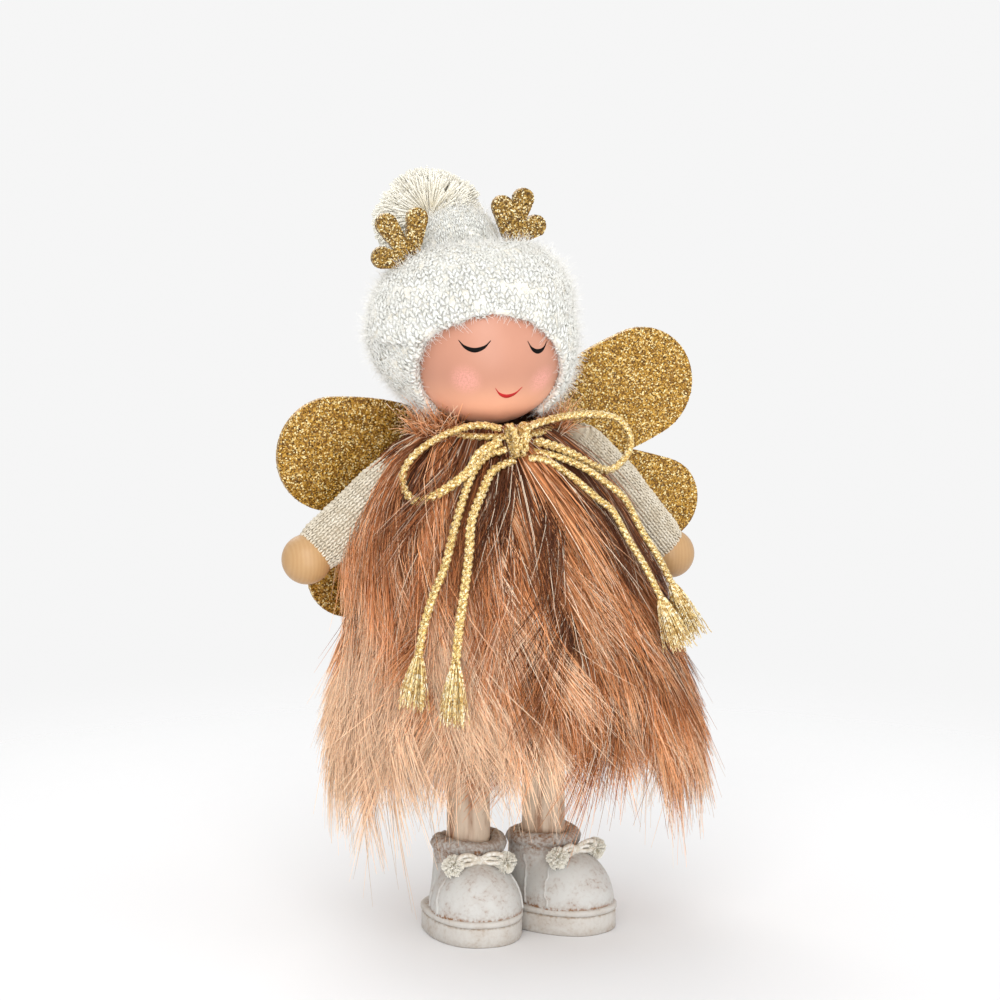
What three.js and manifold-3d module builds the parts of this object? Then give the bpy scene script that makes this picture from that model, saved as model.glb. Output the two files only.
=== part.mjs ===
// A standing plush angel: cast shoes, a fur dress over a stuffed body, bead hands,
// foam wings, a ball head under a knitted hat with antlers, and a gold cord bow.
// Millimetres, Z up. The angel faces -Y, and its own left is +X.
import * as THREE from 'three';
import { mergeVertices } from 'three/addons/utils/BufferGeometryUtils.js';
import Module from 'manifold-3d';

const wasm = await Module();
wasm.setup();

// Clearances
const GAP = 0.3;
const DOWEL_GAP = 0.2;
const CHIN_GAP = 0.9;

// Feet and legs
const LEG_RADIUS = 7;
const LEG_SPREAD = 13.1;
const LEG_BOTTOM = 15;
const SHOE_LENGTH = 41;
const SHOE_WIDTH = 32;
const SHOE_TURN = { left: 23, right: -8 };
const HEEL_BACK = 13.5;
const SOLE_HEIGHT = 8.2;
const WELT_HEIGHT = 1.6;
const WELT_INSET = 1.1;
const TOE_HEIGHT = 25;
const COLLAR_TOP = 30.5;
const COLLAR_TUBE = 2.6;
const COLLAR_RADIUS = 9.6;
const ANKLE_RADIUS = COLLAR_RADIUS + 2;
const TOE_CENTRE = -11;
const TOE_HALF_WIDTH = 14.2;
const TOE_HALF_LENGTH = 15.2;
const HEEL_SHARE = 0.78;
const TREAD = 1;
const RAND_INSET = 0.3;
const LACE_BALL = 3.6;
const LACE_BALL_ACROSS = 8.6;
const LACE_BALL_AHEAD = -15;
const LACE_BALL_DROP = 0.6;

// Base disc, stuffed body and dress
const DISC_RADIUS = 34;
const DISC_BOTTOM = 62;
const DISC_THICKNESS = 6;
const DISC_LIP = 4;
const BODY_BOTTOM = DISC_BOTTOM + DISC_THICKNESS + GAP;
const BODY_TOP = 158;
const BODY_PROFILE = [
  [BODY_BOTTOM, 33], [82, 35], [104, 33], [126, 28], [142, 22.5], [152, 17], [BODY_TOP, 11],
];
const HEM = 47.5;
const COLLAR = 165.2;
const HEM_WALL = 9;
const DRESS_PROFILE = [
  [HEM, 58], [52, 61.5], [57.8, 62.4], [74.3, 60.9], [100, 54.4],
  [119.7, 51.2], [139.4, 42.8], [152.4, 32], [159, 24], [COLLAR, 21],
];
const DRESS_DEPTH = 0.88;
const BODY_DEPTH = 0.6;
const BACK_FLAT = 22.5;
const BACK_FLARE_BELOW = 100;
const BACK_FLARE = 0.75;
const AXIS_AT_HEM = new THREE.Vector2(4, 0);
const AXIS_AT_COLLAR = new THREE.Vector2(-5, 3);

// Head, hat, pompom and antlers
const HEAD = new THREE.Vector3(-5.7, 3, 190.3);
const HEAD_RADIUS = 26.2;
const NECK_RADIUS = 4;
const NECK_BOTTOM = 142;
const NECK_TOP = 180;
// Places and sizes on the head are in head radii.
const onHead = (x, y, z) => HEAD.clone().add(new THREE.Vector3(x, y, z).multiplyScalar(HEAD_RADIUS));
const HAT_CENTRE = onHead(-0.0992, 0.3168, 0.0916);
const HAT_RADII = new THREE.Vector3(1.2786, 1.2977, 1.1641).multiplyScalar(HEAD_RADIUS);
const HAT_WALL = 3.6;
const HAT_TURN = -22;
const BRIM_NORMAL = new THREE.Vector3(0.3455, 0.826, 0.443).normalize();
const BRIM_OFFSET = 0.5038 * HEAD_RADIUS;
const HAT_BOTTOM = 165.6;
const CROWN = onHead(-0.0076, 0.7328, 1.1183);
const CROWN_RADIUS = 0.4771 * HEAD_RADIUS;
const POMPOM = onHead(-0.2481, 1.2176, 1.3359);
const POMPOM_RADIUS = 17.6;
const FOAM = 2;
const ANTLER_WIDTH = 7;
const ANTLER_TAPER = 0.5;
const ANTLERS = {
  right: { at: onHead(-0.8588, 0.2824, 0.9771), lobes: [[82, 17.5], [124, 18.5], [169, 13.5]] },
  left: { at: onHead(0.4733, 0.3893, 1.1527), lobes: [[103, 15.5], [72, 18], [30, 13.5]] },
};

// Arms
const SHOULDER = { x: 28, y: 4, z: 154 };
const ARM_REACH = 48.5;
const ARM_HANG = { left: 40.5, right: 52 };
const SLEEVE_PROFILE = [
  [-7.5, 1.2], [-6.2, 4.6], [-3.2, 7.2], [1, 8.2], [16, 9.2], [30, 8.6], [41, 8.3], [45, 7.4],
];
const SLOT_DROP = 90;
const SLOT_REACH = 40;
const SLOT_SHARE = 0.4;
const SLEEVE_RADIUS = Math.max(...SLEEVE_PROFILE.map(([, radius]) => radius));
const BEAD_RADIUS = 8;
const WIRE_RADIUS = 1.2;
const WIRE_START = 2;
const WIRE_IN_BEAD = 4.5;

// Wings
const WING_CENTRE = new THREE.Vector3(6.4, 25.1, 148);
const WING_ROLL = 9;
const WING_ROOT = 2;
const WING_WAIST = 4;
const WING_LOBES = [
  { length: 75, width: 37, angle: 14.5 },
  { length: 75, width: 28, angle: -25 },
];
const PAD = { width: 16, height: 26, thickness: 1.4 };

// Gold cord bow
const CORD_RADIUS = 1.3;
const TASSEL_RADIUS = 2.6;
const KNOT = new THREE.Vector3(-4.5, -20.5, 162);
const KNOT_RADII = new THREE.Vector3(4.6, 4, 5.4);
const NECK_RING = { x: 18.8, y: 19.6, z: 162.8 };
const GROOVE = 0.5;
const BOW_LOOPS = {
  right: [
    [-9, -17.6, 165.6], [-15, -15.5, 166.8], [-22, -13.5, 165.5], [-29.5, -11.5, 162], [-35.5, -11.5, 158],
    [-39, -12, 154], [-40.2, -13, 149.8], [-39.5, -15.5, 146.2], [-37.5, -18.5, 144.3], [-33.5, -22, 146.3],
    [-29, -24.5, 149.5], [-22.8, -25.3, 154.2], [-17.8, -22.4, 159.1], [-10.4, -21, 162.2],
  ],
  left: [
    [0, -17.5, 165.4], [5, -15.5, 166.4], [14, -13, 167.4], [22.4, -12, 167.6], [30.7, -12, 166.6],
    [35.1, -13, 163.9], [37.1, -14, 159.4], [36, -15.2, 155], [32.2, -16, 151.3], [27.5, -17.5, 150],
    [20.8, -20.4, 152.6], [15, -21.4, 156], [8.8, -21.4, 159.2], [1.4, -21.2, 161.6],
  ],
};
const BOW_TAILS = {
  right_outer: [
    [-9.3, -22.6, 159.6], [-14, -20.8, 158.2], [-18.8, -22.4, 155], [-23.6, -26, 149.5], [-30.2, -31.6, 137],
    [-34.4, -34.2, 126], [-38.4, -34.2, 117], [-41.4, -33.8, 107], [-43, -34, 98.5],
  ],
  right_inner: [
    [-7, -23.2, 156.2], [-14.6, -25.4, 153.8], [-20, -29.8, 148.2], [-25.4, -34.2, 140],
    [-27.4, -37.2, 131], [-30, -40, 120], [-32.4, -41.2, 107.5], [-34, -42.4, 97],
  ],
  left_inner: [
    [-1.6, -23.4, 156.6], [2.8, -23.8, 156], [8.4, -26, 152.8], [13.8, -28.8, 148.2], [18.4, -31, 143.7],
    [23, -32.4, 139.7], [27.2, -35, 131], [32.6, -36, 122], [38.6, -35.4, 111],
  ],
  left_outer: [
    [1, -20.8, 158.2], [6.2, -21.8, 157], [12.2, -23.6, 154.8], [18, -25.8, 151.6], [23.8, -27.2, 147.2],
    [29.4, -28.4, 141.8], [33.6, -31, 132.6], [39.2, -31.8, 123.6], [44.8, -30.4, 114],
  ],
};
const TASSEL_TIPS = {
  right_outer: [-46.8, -37.4, 81.5],
  right_inner: [-36.8, -46.5, 77],
  left_inner: [45, -37, 93],
  left_outer: [54, -28.5, 95],
};

// Materials
const paint = (color, roughness, metalness = 0) => {
  return new THREE.MeshStandardMaterial({ color, roughness, metalness });
};
const RESIN = paint(0xe1ded6, 0.7);
const LEG_PAINT = paint(0xcdb49b, 0.7);
const PLYWOOD = paint(0xc8a878, 0.8);
const STUFFING = paint(0xe8e2d6, 0.95);
const FUR = paint(0xb88262, 0.9);
const SKIN = paint(0xecb296, 0.45);
const KNIT = paint(0xecead8, 0.95);
const YARN = paint(0xeeeadc, 0.95);
const GLITTER = paint(0xb48a3c, 0.5, 0.4);
const RIB_KNIT = paint(0xe8e4da, 0.95);
const WOOD = paint(0xe2be91, 0.6);
const STEEL = paint(0x9a9a98, 0.4, 0.9);
const FELT = paint(0xa8834a, 0.95);
const GOLD_CORD = paint(0xcdaf69, 0.4, 0.5);

const SIDES = { left: 1, right: -1 };
const degrees = THREE.MathUtils.degToRad;
const vector = (point) => new THREE.Vector3(...point);

// Solids
function solid(geometry) {
  const bare = geometry.index ? geometry.toNonIndexed() : geometry.clone();
  bare.deleteAttribute('normal');
  bare.deleteAttribute('uv');
  const welded = mergeVertices(bare, 1e-4);
  const mesh = new wasm.Mesh({
    numProp: 3,
    vertProperties: new Float32Array(welded.attributes.position.array),
    triVerts: new Uint32Array(welded.index.array),
  });
  return new wasm.Manifold(mesh);
}

function moved(geometry, position, rotation = [0, 0, 0]) {
  const turn = new THREE.Euler(...rotation.map(degrees));
  const matrix = new THREE.Matrix4().makeRotationFromEuler(turn).setPosition(position);
  return geometry.applyMatrix4(matrix);
}

function named(name, body, material) {
  const made = body.getMesh();
  const geometry = new THREE.BufferGeometry();
  geometry.setAttribute('position', new THREE.BufferAttribute(new Float32Array(made.vertProperties), 3));
  geometry.setIndex(new THREE.BufferAttribute(new Uint32Array(made.triVerts), 1));
  geometry.computeVertexNormals();
  const mesh = new THREE.Mesh(geometry, material);
  mesh.name = name;
  return mesh;
}

// A closed skin over rings of points, each ring counted anticlockwise from above.
function loft(rings) {
  const count = rings[0].length;
  const points = rings.flat();
  const middle = (ring) => ring.reduce((sum, p) => sum.add(p), new THREE.Vector3()).divideScalar(count);
  const bottom = points.push(middle(rings[0])) - 1;
  const top = points.push(middle(rings.at(-1))) - 1;
  const faces = [];
  for (let i = 0; i < count; i += 1) {
    const j = (i + 1) % count;
    const last = (rings.length - 1) * count;
    faces.push(bottom, j, i, top, last + i, last + j);
    for (let r = 0; r < last; r += count) {
      faces.push(r + i, r + j, r + count + j, r + i, r + count + j, r + count + i);
    }
  }
  const geometry = new THREE.BufferGeometry().setFromPoints(points);
  geometry.setIndex(faces);
  return geometry;
}

function ellipsoid(centre, radii, turn = 0, wide = 28, high = 18) {
  const geometry = new THREE.SphereGeometry(1, wide, high).rotateX(Math.PI / 2);
  geometry.scale(radii.x, radii.y, radii.z);
  return moved(geometry, centre, [0, 0, turn]);
}

function ball(centre, radius, wide = 20, high = 12) {
  return ellipsoid(centre, new THREE.Vector3(radius, radius, radius), 0, wide, high);
}

// The turn that takes +Y to a direction
function turnTo(along) {
  return new THREE.Quaternion().setFromUnitVectors(new THREE.Vector3(0, 1, 0), along.clone().normalize());
}

function rod(radius, from, to, sides = 16) {
  const along = to.clone().sub(from);
  const geometry = new THREE.CylinderGeometry(radius, radius, along.length(), sides);
  return geometry.applyQuaternion(turnTo(along)).translate(...from.clone().add(to).multiplyScalar(0.5));
}

// Everything on the negative side of a plane
function behindPlane(normal, point) {
  const size = 400;
  const turn = new THREE.Quaternion().setFromUnitVectors(new THREE.Vector3(0, 0, 1), normal);
  const geometry = new THREE.BoxGeometry(size, size, size).translate(0, 0, -size / 2);
  return geometry.applyQuaternion(turn).translate(...point);
}

function circle(radius, sides) {
  const shape = new THREE.Shape();
  for (let i = 0; i < sides; i += 1) {
    const angle = (i / sides) * 2 * Math.PI;
    shape[i ? 'lineTo' : 'moveTo'](radius * Math.cos(angle), radius * Math.sin(angle));
  }
  return shape;
}

function tube(points, radius) {
  const path = new THREE.CatmullRomCurve3(points.map(vector), false, 'centripetal');
  const steps = Math.round(path.getLength() / (5 * radius));
  return new THREE.ExtrudeGeometry(circle(radius, 8), { steps, extrudePath: path });
}

// The axis that the dress and body follow, leaning to the angel's right
function axisAt(z) {
  return AXIS_AT_HEM.clone().lerp(AXIS_AT_COLLAR, (z - HEM) / (COLLAR - HEM));
}

function roundBody(profile, grow, frontDepth, backDepth, sides) {
  const rings = profile.map(([z, radius]) => {
    const axis = axisAt(z);
    return Array.from({ length: sides }, (_, i) => {
      const angle = (i / sides) * 2 * Math.PI;
      const across = (radius + grow) * Math.cos(angle);
      const depth = Math.sin(angle) < 0 ? frontDepth(z, radius) + grow : backDepth(z, radius) + grow;
      return new THREE.Vector3(axis.x + across, axis.y + depth * Math.sin(angle), z);
    });
  });
  return loft(rings);
}

// Shoes: sole, welt, toe, heel, collar and lace balls in one casting, with a socket for the leg
function shoeOutline(inset) {
  const half = SHOE_WIDTH / 2 - inset;
  const heel = half * HEEL_SHARE;
  const toe = SHOE_LENGTH - HEEL_BACK - inset;
  const shape = new THREE.Shape();
  shape.moveTo(heel, 0);
  shape.bezierCurveTo(half, toe * 0.25, half * 1.25, toe, 0, toe);
  shape.bezierCurveTo(-half * 1.25, toe, -half, toe * 0.25, -heel, 0);
  shape.bezierCurveTo(-heel, -HEEL_BACK * 1.3 + inset, heel, -HEEL_BACK * 1.3 + inset, heel, 0);
  return shape;
}

function shoe(side) {
  const plate = (inset, bottom, depth) => new THREE.ExtrudeGeometry(shoeOutline(inset), {
    depth, bevelEnabled: false, curveSegments: 10,
  }).rotateZ(Math.PI).translate(0, 0, bottom);
  const upright = (height) => new THREE.Vector3(0, 0, height);
  const toeRadii = new THREE.Vector3(TOE_HALF_WIDTH, TOE_HALF_LENGTH, TOE_HEIGHT - SOLE_HEIGHT);
  const toe = ellipsoid(new THREE.Vector3(0, TOE_CENTRE, SOLE_HEIGHT), toeRadii, 0, 20, 12);
  const rimHeight = COLLAR_TOP - COLLAR_TUBE;
  const heel = rod(ANKLE_RADIUS, upright(SOLE_HEIGHT), upright(rimHeight), 20);
  const rim = new THREE.TorusGeometry(COLLAR_RADIUS, COLLAR_TUBE, 8, 20).translate(0, 0, rimHeight);
  const socket = rod(LEG_RADIUS + GAP, upright(LEG_BOTTOM - GAP), upright(2 * COLLAR_TOP), 20);
  const floor = behindPlane(new THREE.Vector3(0, 0, 1), new THREE.Vector3());
  let body = solid(plate(0, 0, SOLE_HEIGHT - WELT_HEIGHT));
  body = body.add(solid(plate(WELT_INSET, TREAD, SOLE_HEIGHT - TREAD)));
  body = body.add(solid(plate(RAND_INSET, SOLE_HEIGHT - WELT_HEIGHT / 2, WELT_HEIGHT)));
  body = body.add(solid(toe)).add(solid(heel)).add(solid(rim));
  for (const across of [-LACE_BALL_ACROSS, LACE_BALL_ACROSS]) {
    const spot = new THREE.Vector3(across, LACE_BALL_AHEAD, TOE_HEIGHT - LACE_BALL_DROP);
    body = body.add(solid(ball(spot, LACE_BALL, 10, 6)));
  }
  body = body.subtract(solid(socket)).subtract(solid(floor));
  const mesh = named(`${side}_shoe`, body, RESIN);
  mesh.position.set(SIDES[side] * LEG_SPREAD, 0, 0);
  mesh.rotation.z = degrees(SHOE_TURN[side]);
  return mesh;
}

const legLine = (side, bottom, top) => [
  new THREE.Vector3(SIDES[side] * LEG_SPREAD, 0, bottom),
  new THREE.Vector3(SIDES[side] * LEG_SPREAD, 0, top),
];

function leg(side) {
  const line = legLine(side, LEG_BOTTOM, DISC_BOTTOM + DISC_THICKNESS);
  return named(`${side}_leg`, solid(rod(LEG_RADIUS, ...line, 20)), LEG_PAINT);
}

// Disc that the legs are glued into
const discAxis = axisAt(DISC_BOTTOM);
const discRod = (grow) => rod(
  DISC_RADIUS + grow,
  new THREE.Vector3(discAxis.x, discAxis.y, DISC_BOTTOM - grow),
  new THREE.Vector3(discAxis.x, discAxis.y, DISC_BOTTOM + DISC_THICKNESS + grow),
  36,
);

function baseDisc() {
  let body = solid(discRod(0));
  for (const side of Object.keys(SIDES)) {
    body = body.subtract(solid(rod(LEG_RADIUS + DOWEL_GAP, ...legLine(side, HEM, BODY_TOP), 20)));
  }
  return named('base_disc', body, PLYWOOD);
}

// Arms: a frame at each shoulder with the arm along its -Z axis
function armFrame(side) {
  const group = new THREE.Group();
  group.name = `${side}_arm`;
  group.position.set(SIDES[side] * SHOULDER.x, SHOULDER.y, SHOULDER.z);
  group.rotation.y = -SIDES[side] * degrees(ARM_HANG[side]);
  return group;
}

const alongArm = (reach) => new THREE.Vector3(0, 0, -reach);

function sleeve(side) {
  const sides = 16;
  const ringOf = ([along, radius]) => Array.from({ length: sides }, (_, i) => {
    const angle = (i / sides) * 2 * Math.PI;
    return new THREE.Vector3(radius * Math.cos(angle), radius * Math.sin(angle), -along);
  });
  const rings = SLEEVE_PROFILE.toReversed().map(ringOf);
  const bead = ball(alongArm(ARM_REACH), BEAD_RADIUS + GAP, 18, 12);
  const bore = rod(WIRE_RADIUS + GAP, alongArm(WIRE_START - GAP), alongArm(ARM_REACH + BEAD_RADIUS), 10);
  return named(`${side}_sleeve`, solid(loft(rings)).subtract(solid(bead)).subtract(solid(bore)), RIB_KNIT);
}

const WIRE_END = ARM_REACH - BEAD_RADIUS + WIRE_IN_BEAD;

function handBead(side) {
  const hole = rod(WIRE_RADIUS + GAP, alongArm(WIRE_START), alongArm(WIRE_END + GAP), 10);
  const body = solid(ball(alongArm(ARM_REACH), BEAD_RADIUS, 18, 12)).subtract(solid(hole));
  return named(`${side}_hand_bead`, body, WOOD);
}

function armWire(side) {
  const wire = rod(WIRE_RADIUS, alongArm(WIRE_START), alongArm(WIRE_END), 10);
  return named(`${side}_arm_wire`, solid(wire), STEEL);
}

// The slot that an arm lies in and swings out of: open above and outside the hanging arm
function armSlot(side) {
  const out = SIDES[side];
  const room = SLEEVE_RADIUS + GAP;
  const along = new THREE.Vector2(Math.sin(degrees(ARM_HANG[side])), -Math.cos(degrees(ARM_HANG[side])));
  const inward = new THREE.Vector2(-along.y, along.x).multiplyScalar(-room);
  const start = new THREE.Vector2(SHOULDER.x, SHOULDER.z).addScaledVector(along, -room);
  const end = start.clone().addScaledVector(along, SLOT_DROP);
  const shape = new THREE.Shape([
    start.clone().add(inward),
    end.clone().add(inward),
    new THREE.Vector2(end.x + SLOT_REACH, end.y),
    new THREE.Vector2(end.x + SLOT_REACH, SHOULDER.z + room),
    new THREE.Vector2(SHOULDER.x - room * SLOT_SHARE, SHOULDER.z + room),
  ].map((p) => new THREE.Vector2(out * p.x, p.y)));
  const slab = new THREE.ExtrudeGeometry(shape, { depth: 2 * room, bevelEnabled: false });
  return slab.rotateX(Math.PI / 2).translate(0, SHOULDER.y + room, 0);
}

// Stuffed body, hollowed at the shoulders for the sleeve roots and bored for the neck
const bodyDepth = (z, radius) => radius * BODY_DEPTH;
const stuffed = (grow) => solid(roundBody(BODY_PROFILE, grow, bodyDepth, bodyDepth, 26));
const neckRod = (grow, bottom, top) => rod(
  NECK_RADIUS + grow, new THREE.Vector3(HEAD.x, HEAD.y, bottom), new THREE.Vector3(HEAD.x, HEAD.y, top), 18,
);

function bodyCore() {
  let body = stuffed(0).subtract(solid(neckRod(DOWEL_GAP, NECK_BOTTOM - GAP, HEAD.z)));
  for (const side of Object.keys(SIDES)) body = body.subtract(solid(armSlot(side)));
  return named('body_core', body, STUFFING);
}

// Fur dress: the outer shape of the pile, flattened at the back behind the wings
const dressFront = (z, radius) => radius * DRESS_DEPTH;
const dressBack = (z, radius) => {
  const flat = BACK_FLAT + Math.max(0, BACK_FLARE_BELOW - z) * BACK_FLARE - axisAt(z).y;
  return Math.min(radius * DRESS_DEPTH, flat);
};
const RING_POINTS = 24;
const ringPoints = () => Array.from({ length: RING_POINTS }, (_, i) => {
  const angle = (i / RING_POINTS) * 2 * Math.PI;
  const axis = axisAt(NECK_RING.z);
  return new THREE.Vector3(
    axis.x + NECK_RING.x * Math.cos(angle), axis.y + NECK_RING.y * Math.sin(angle), NECK_RING.z,
  );
});
const neckTube = (radius) => new THREE.TubeGeometry(
  new THREE.CatmullRomCurve3(ringPoints(), true), 30, radius, 6, true,
);

const knotRoom = () => solid(ellipsoid(KNOT, KNOT_RADII.clone().addScalar(GAP), 0, 16, 10));

function furDress() {
  const [[, hemRadius], [swellHeight, swellRadius]] = DRESS_PROFILE;
  const cavity = [
    [HEM - GAP, hemRadius - HEM_WALL],
    [swellHeight, swellRadius - HEM_WALL],
    [DISC_BOTTOM - DISC_THICKNESS / 2, DISC_RADIUS + DISC_LIP],
    [DISC_BOTTOM - GAP, DISC_RADIUS],
  ];
  const cavityBack = (z, radius) => dressBack(z, radius + HEM_WALL) - HEM_WALL;
  let body = solid(roundBody(DRESS_PROFILE, 0, dressFront, dressBack, 40));
  body = body.subtract(solid(roundBody(cavity, 0, dressFront, cavityBack, 28)));
  body = body.subtract(stuffed(GAP)).subtract(solid(discRod(GAP)));
  body = body.subtract(solid(neckRod(GAP, BODY_BOTTOM, HEAD.z)));
  body = body.subtract(solid(ball(HEAD, HEAD_RADIUS + CHIN_GAP, 24, 14)));
  body = body.subtract(solid(neckTube(CORD_RADIUS + GROOVE)));
  body = body.subtract(knotRoom());
  for (const side of Object.keys(SIDES)) body = body.subtract(solid(armSlot(side)));
  return named('fur_dress', largest(body), FUR);
}

// The biggest separate lump of a body
function largest(body) {
  const lumps = body.decompose();
  return lumps.reduce((best, lump) => (lump.volume() > best.volume() ? lump : best));
}

// Head and hat
function headBall() {
  const bore = neckRod(DOWEL_GAP, BODY_TOP, NECK_TOP + GAP);
  return named('head_ball', solid(ball(HEAD, HEAD_RADIUS, 26, 16)).subtract(solid(bore)), SKIN);
}

const hatBowl = (grow) => ellipsoid(HAT_CENTRE, HAT_RADII.clone().addScalar(grow), HAT_TURN, 26, 16);
const hatShape = (grow) => {
  const snug = ball(HEAD, HEAD_RADIUS + HAT_WALL + grow, 26, 16);
  const crown = ball(CROWN, CROWN_RADIUS + grow, 18, 12);
  return solid(hatBowl(grow)).add(solid(snug)).add(solid(crown));
};

function hat() {
  const brim = behindPlane(BRIM_NORMAL, HEAD.clone().addScaledVector(BRIM_NORMAL, -BRIM_OFFSET));
  const bottom = behindPlane(new THREE.Vector3(0, 0, 1), new THREE.Vector3(0, 0, HAT_BOTTOM));
  let body = hatShape(0).subtract(solid(ball(HEAD, HEAD_RADIUS + GAP, 26, 16)));
  body = body.subtract(solid(brim)).subtract(solid(bottom));
  body = body.subtract(solid(neckRod(GAP, BODY_TOP, HEAD.z)));
  return named('knit_hat', largest(body), KNIT);
}

function pompom() {
  return named('pompom', solid(ball(POMPOM, POMPOM_RADIUS, 22, 14)).subtract(hatShape(GAP)), YARN);
}

// An antler is three rounded lobes of foam from one foot
function antler(side) {
  const { at, lobes } = ANTLERS[side];
  const half = ANTLER_WIDTH / 2;
  let body = null;
  for (const [angle, length] of lobes) {
    const shape = new THREE.Shape();
    shape.absarc(length - half, 0, half, -Math.PI / 2, Math.PI / 2, false);
    shape.absarc(0, 0, half * ANTLER_TAPER, Math.PI / 2, (3 * Math.PI) / 2, false);
    const lobe = new THREE.ExtrudeGeometry(shape, { depth: FOAM, bevelEnabled: false, curveSegments: 8 });
    lobe.rotateZ(degrees(angle)).rotateX(Math.PI / 2).translate(0, FOAM / 2, 0);
    const part = solid(lobe.translate(...at));
    body = body ? body.add(part) : part;
  }
  return named(`${side}_antler`, largest(body.subtract(hatShape(GAP))), GLITTER);
}

// Wings: each half of the foam is two round-ended lobes that meet at the crease
function wingLobe({ length, width, angle }) {
  const half = width / 2;
  const shape = new THREE.Shape();
  shape.moveTo(0, WING_WAIST);
  shape.bezierCurveTo(length * 0.3, half * 0.9, length * 0.5, half * 1.06, length - half, half);
  shape.absarc(length - half, 0, half, Math.PI / 2, -Math.PI / 2, true);
  shape.bezierCurveTo(length * 0.5, -half * 1.06, length * 0.3, -half * 0.9, 0, -WING_WAIST);
  const lobe = new THREE.ExtrudeGeometry(shape, { depth: FOAM, bevelEnabled: false, curveSegments: 10 });
  return lobe.rotateZ(degrees(angle)).rotateX(Math.PI / 2).translate(0, FOAM, 0);
}

function wing(side) {
  let body = solid(wingLobe(WING_LOBES[0])).add(solid(wingLobe(WING_LOBES[1])));
  const crease = behindPlane(new THREE.Vector3(1, 0, 0), new THREE.Vector3(WING_ROOT, 0, 0));
  body = body.subtract(solid(crease));
  if (side === 'right') body = body.mirror([1, 0, 0]);
  return named(`${side}_wing`, body, GLITTER);
}

function wingPad() {
  const pad = new THREE.BoxGeometry(PAD.width, PAD.thickness, PAD.height);
  return named('wing_pad', solid(pad.translate(0, -GAP - PAD.thickness / 2, 0)), FELT);
}

// Gold cord
function neckCord() {
  return named('neck_cord', solid(neckTube(CORD_RADIUS)).subtract(knotRoom()), GOLD_CORD);
}

function bowKnot() {
  return named('bow_knot', solid(ellipsoid(KNOT, KNOT_RADII, 0, 16, 10)), GOLD_CORD);
}

function cordPiece(name, points) {
  return named(name, largest(solid(tube(points, CORD_RADIUS)).subtract(knotRoom())), GOLD_CORD);
}

function tassel(name, from, to) {
  const start = vector(from);
  const along = vector(to).sub(start);
  const length = along.length() - GAP;
  const waist = [TASSEL_RADIUS * 0.8, length * 0.4];
  const profile = [[0, 0], [CORD_RADIUS, 0], waist, [TASSEL_RADIUS, length], [0, length]];
  const geometry = new THREE.LatheGeometry(profile.map(([r, y]) => new THREE.Vector2(r, y)), 10);
  geometry.applyQuaternion(turnTo(along)).translate(...start.addScaledVector(along.normalize(), GAP));
  return named(name, solid(geometry), GOLD_CORD);
}

// Assembly
const angel = new THREE.Group();
angel.name = 'plush_angel';

for (const side of Object.keys(SIDES)) angel.add(shoe(side), leg(side));
angel.add(baseDisc(), bodyCore(), furDress());
angel.add(named('neck_dowel', solid(neckRod(0, NECK_BOTTOM, NECK_TOP)), WOOD));
angel.add(headBall(), hat(), pompom());
for (const side of Object.keys(SIDES)) {
  const arm = armFrame(side);
  arm.add(sleeve(side), handBead(side), armWire(side));
  angel.add(antler(side), arm);
}

const wings = new THREE.Group();
wings.name = 'wings';
wings.position.copy(WING_CENTRE);
wings.rotation.y = -degrees(WING_ROLL);
wings.add(wingPad(), wing('left'), wing('right'));
angel.add(wings);

const bow = new THREE.Group();
bow.name = 'bow';
bow.add(neckCord(), bowKnot());
for (const [side, points] of Object.entries(BOW_LOOPS)) bow.add(cordPiece(`${side}_bow_loop`, points));
for (const [place, points] of Object.entries(BOW_TAILS)) {
  bow.add(cordPiece(`${place}_tail`, points));
  bow.add(tassel(`${place}_tassel`, points.at(-1), TASSEL_TIPS[place]));
}
angel.add(bow);

// The origin is under the middle of everything but the bow, on the floor.
bow.removeFromParent();
angel.updateMatrixWorld(true);
const box = new THREE.Box3().setFromObject(angel, true);
angel.add(bow);
const middle = box.getCenter(new THREE.Vector3());
angel.position.set(-middle.x, -middle.y, -box.min.z);

const part = new THREE.Group();
part.add(angel);

export default part;
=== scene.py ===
"""Look of the plush angel: fur, knit, glitter foam, wood, castings and gold cord on the CAD frame."""
import logging
import math
from dataclasses import dataclass, field
from enum import Enum
from typing import Sequence

import bpy
import numpy as np
from bpy.types import Material, Mesh, Node, NodeSocket, NodeTree, Object
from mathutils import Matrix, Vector


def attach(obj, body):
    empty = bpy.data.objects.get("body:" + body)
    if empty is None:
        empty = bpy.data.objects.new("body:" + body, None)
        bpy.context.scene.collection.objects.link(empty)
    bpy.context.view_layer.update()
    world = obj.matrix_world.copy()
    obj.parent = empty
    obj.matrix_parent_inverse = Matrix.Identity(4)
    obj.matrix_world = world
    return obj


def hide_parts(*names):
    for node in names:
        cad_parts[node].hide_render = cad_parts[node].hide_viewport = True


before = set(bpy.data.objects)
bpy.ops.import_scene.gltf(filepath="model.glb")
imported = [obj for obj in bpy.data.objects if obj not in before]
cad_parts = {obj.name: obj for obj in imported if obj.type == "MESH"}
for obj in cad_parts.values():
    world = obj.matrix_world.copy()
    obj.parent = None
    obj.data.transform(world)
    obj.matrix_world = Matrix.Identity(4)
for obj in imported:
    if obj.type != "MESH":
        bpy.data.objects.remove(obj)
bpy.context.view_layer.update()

log = logging.getLogger("angel")

MM = 0.001
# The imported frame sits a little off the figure's own axis.
OFFSET = np.array([-2.4348, 0.2074, 0.0])
Pair = tuple[float, float]
Point = tuple[float, float, float]
Colour = tuple[float, float, float, float]


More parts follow.
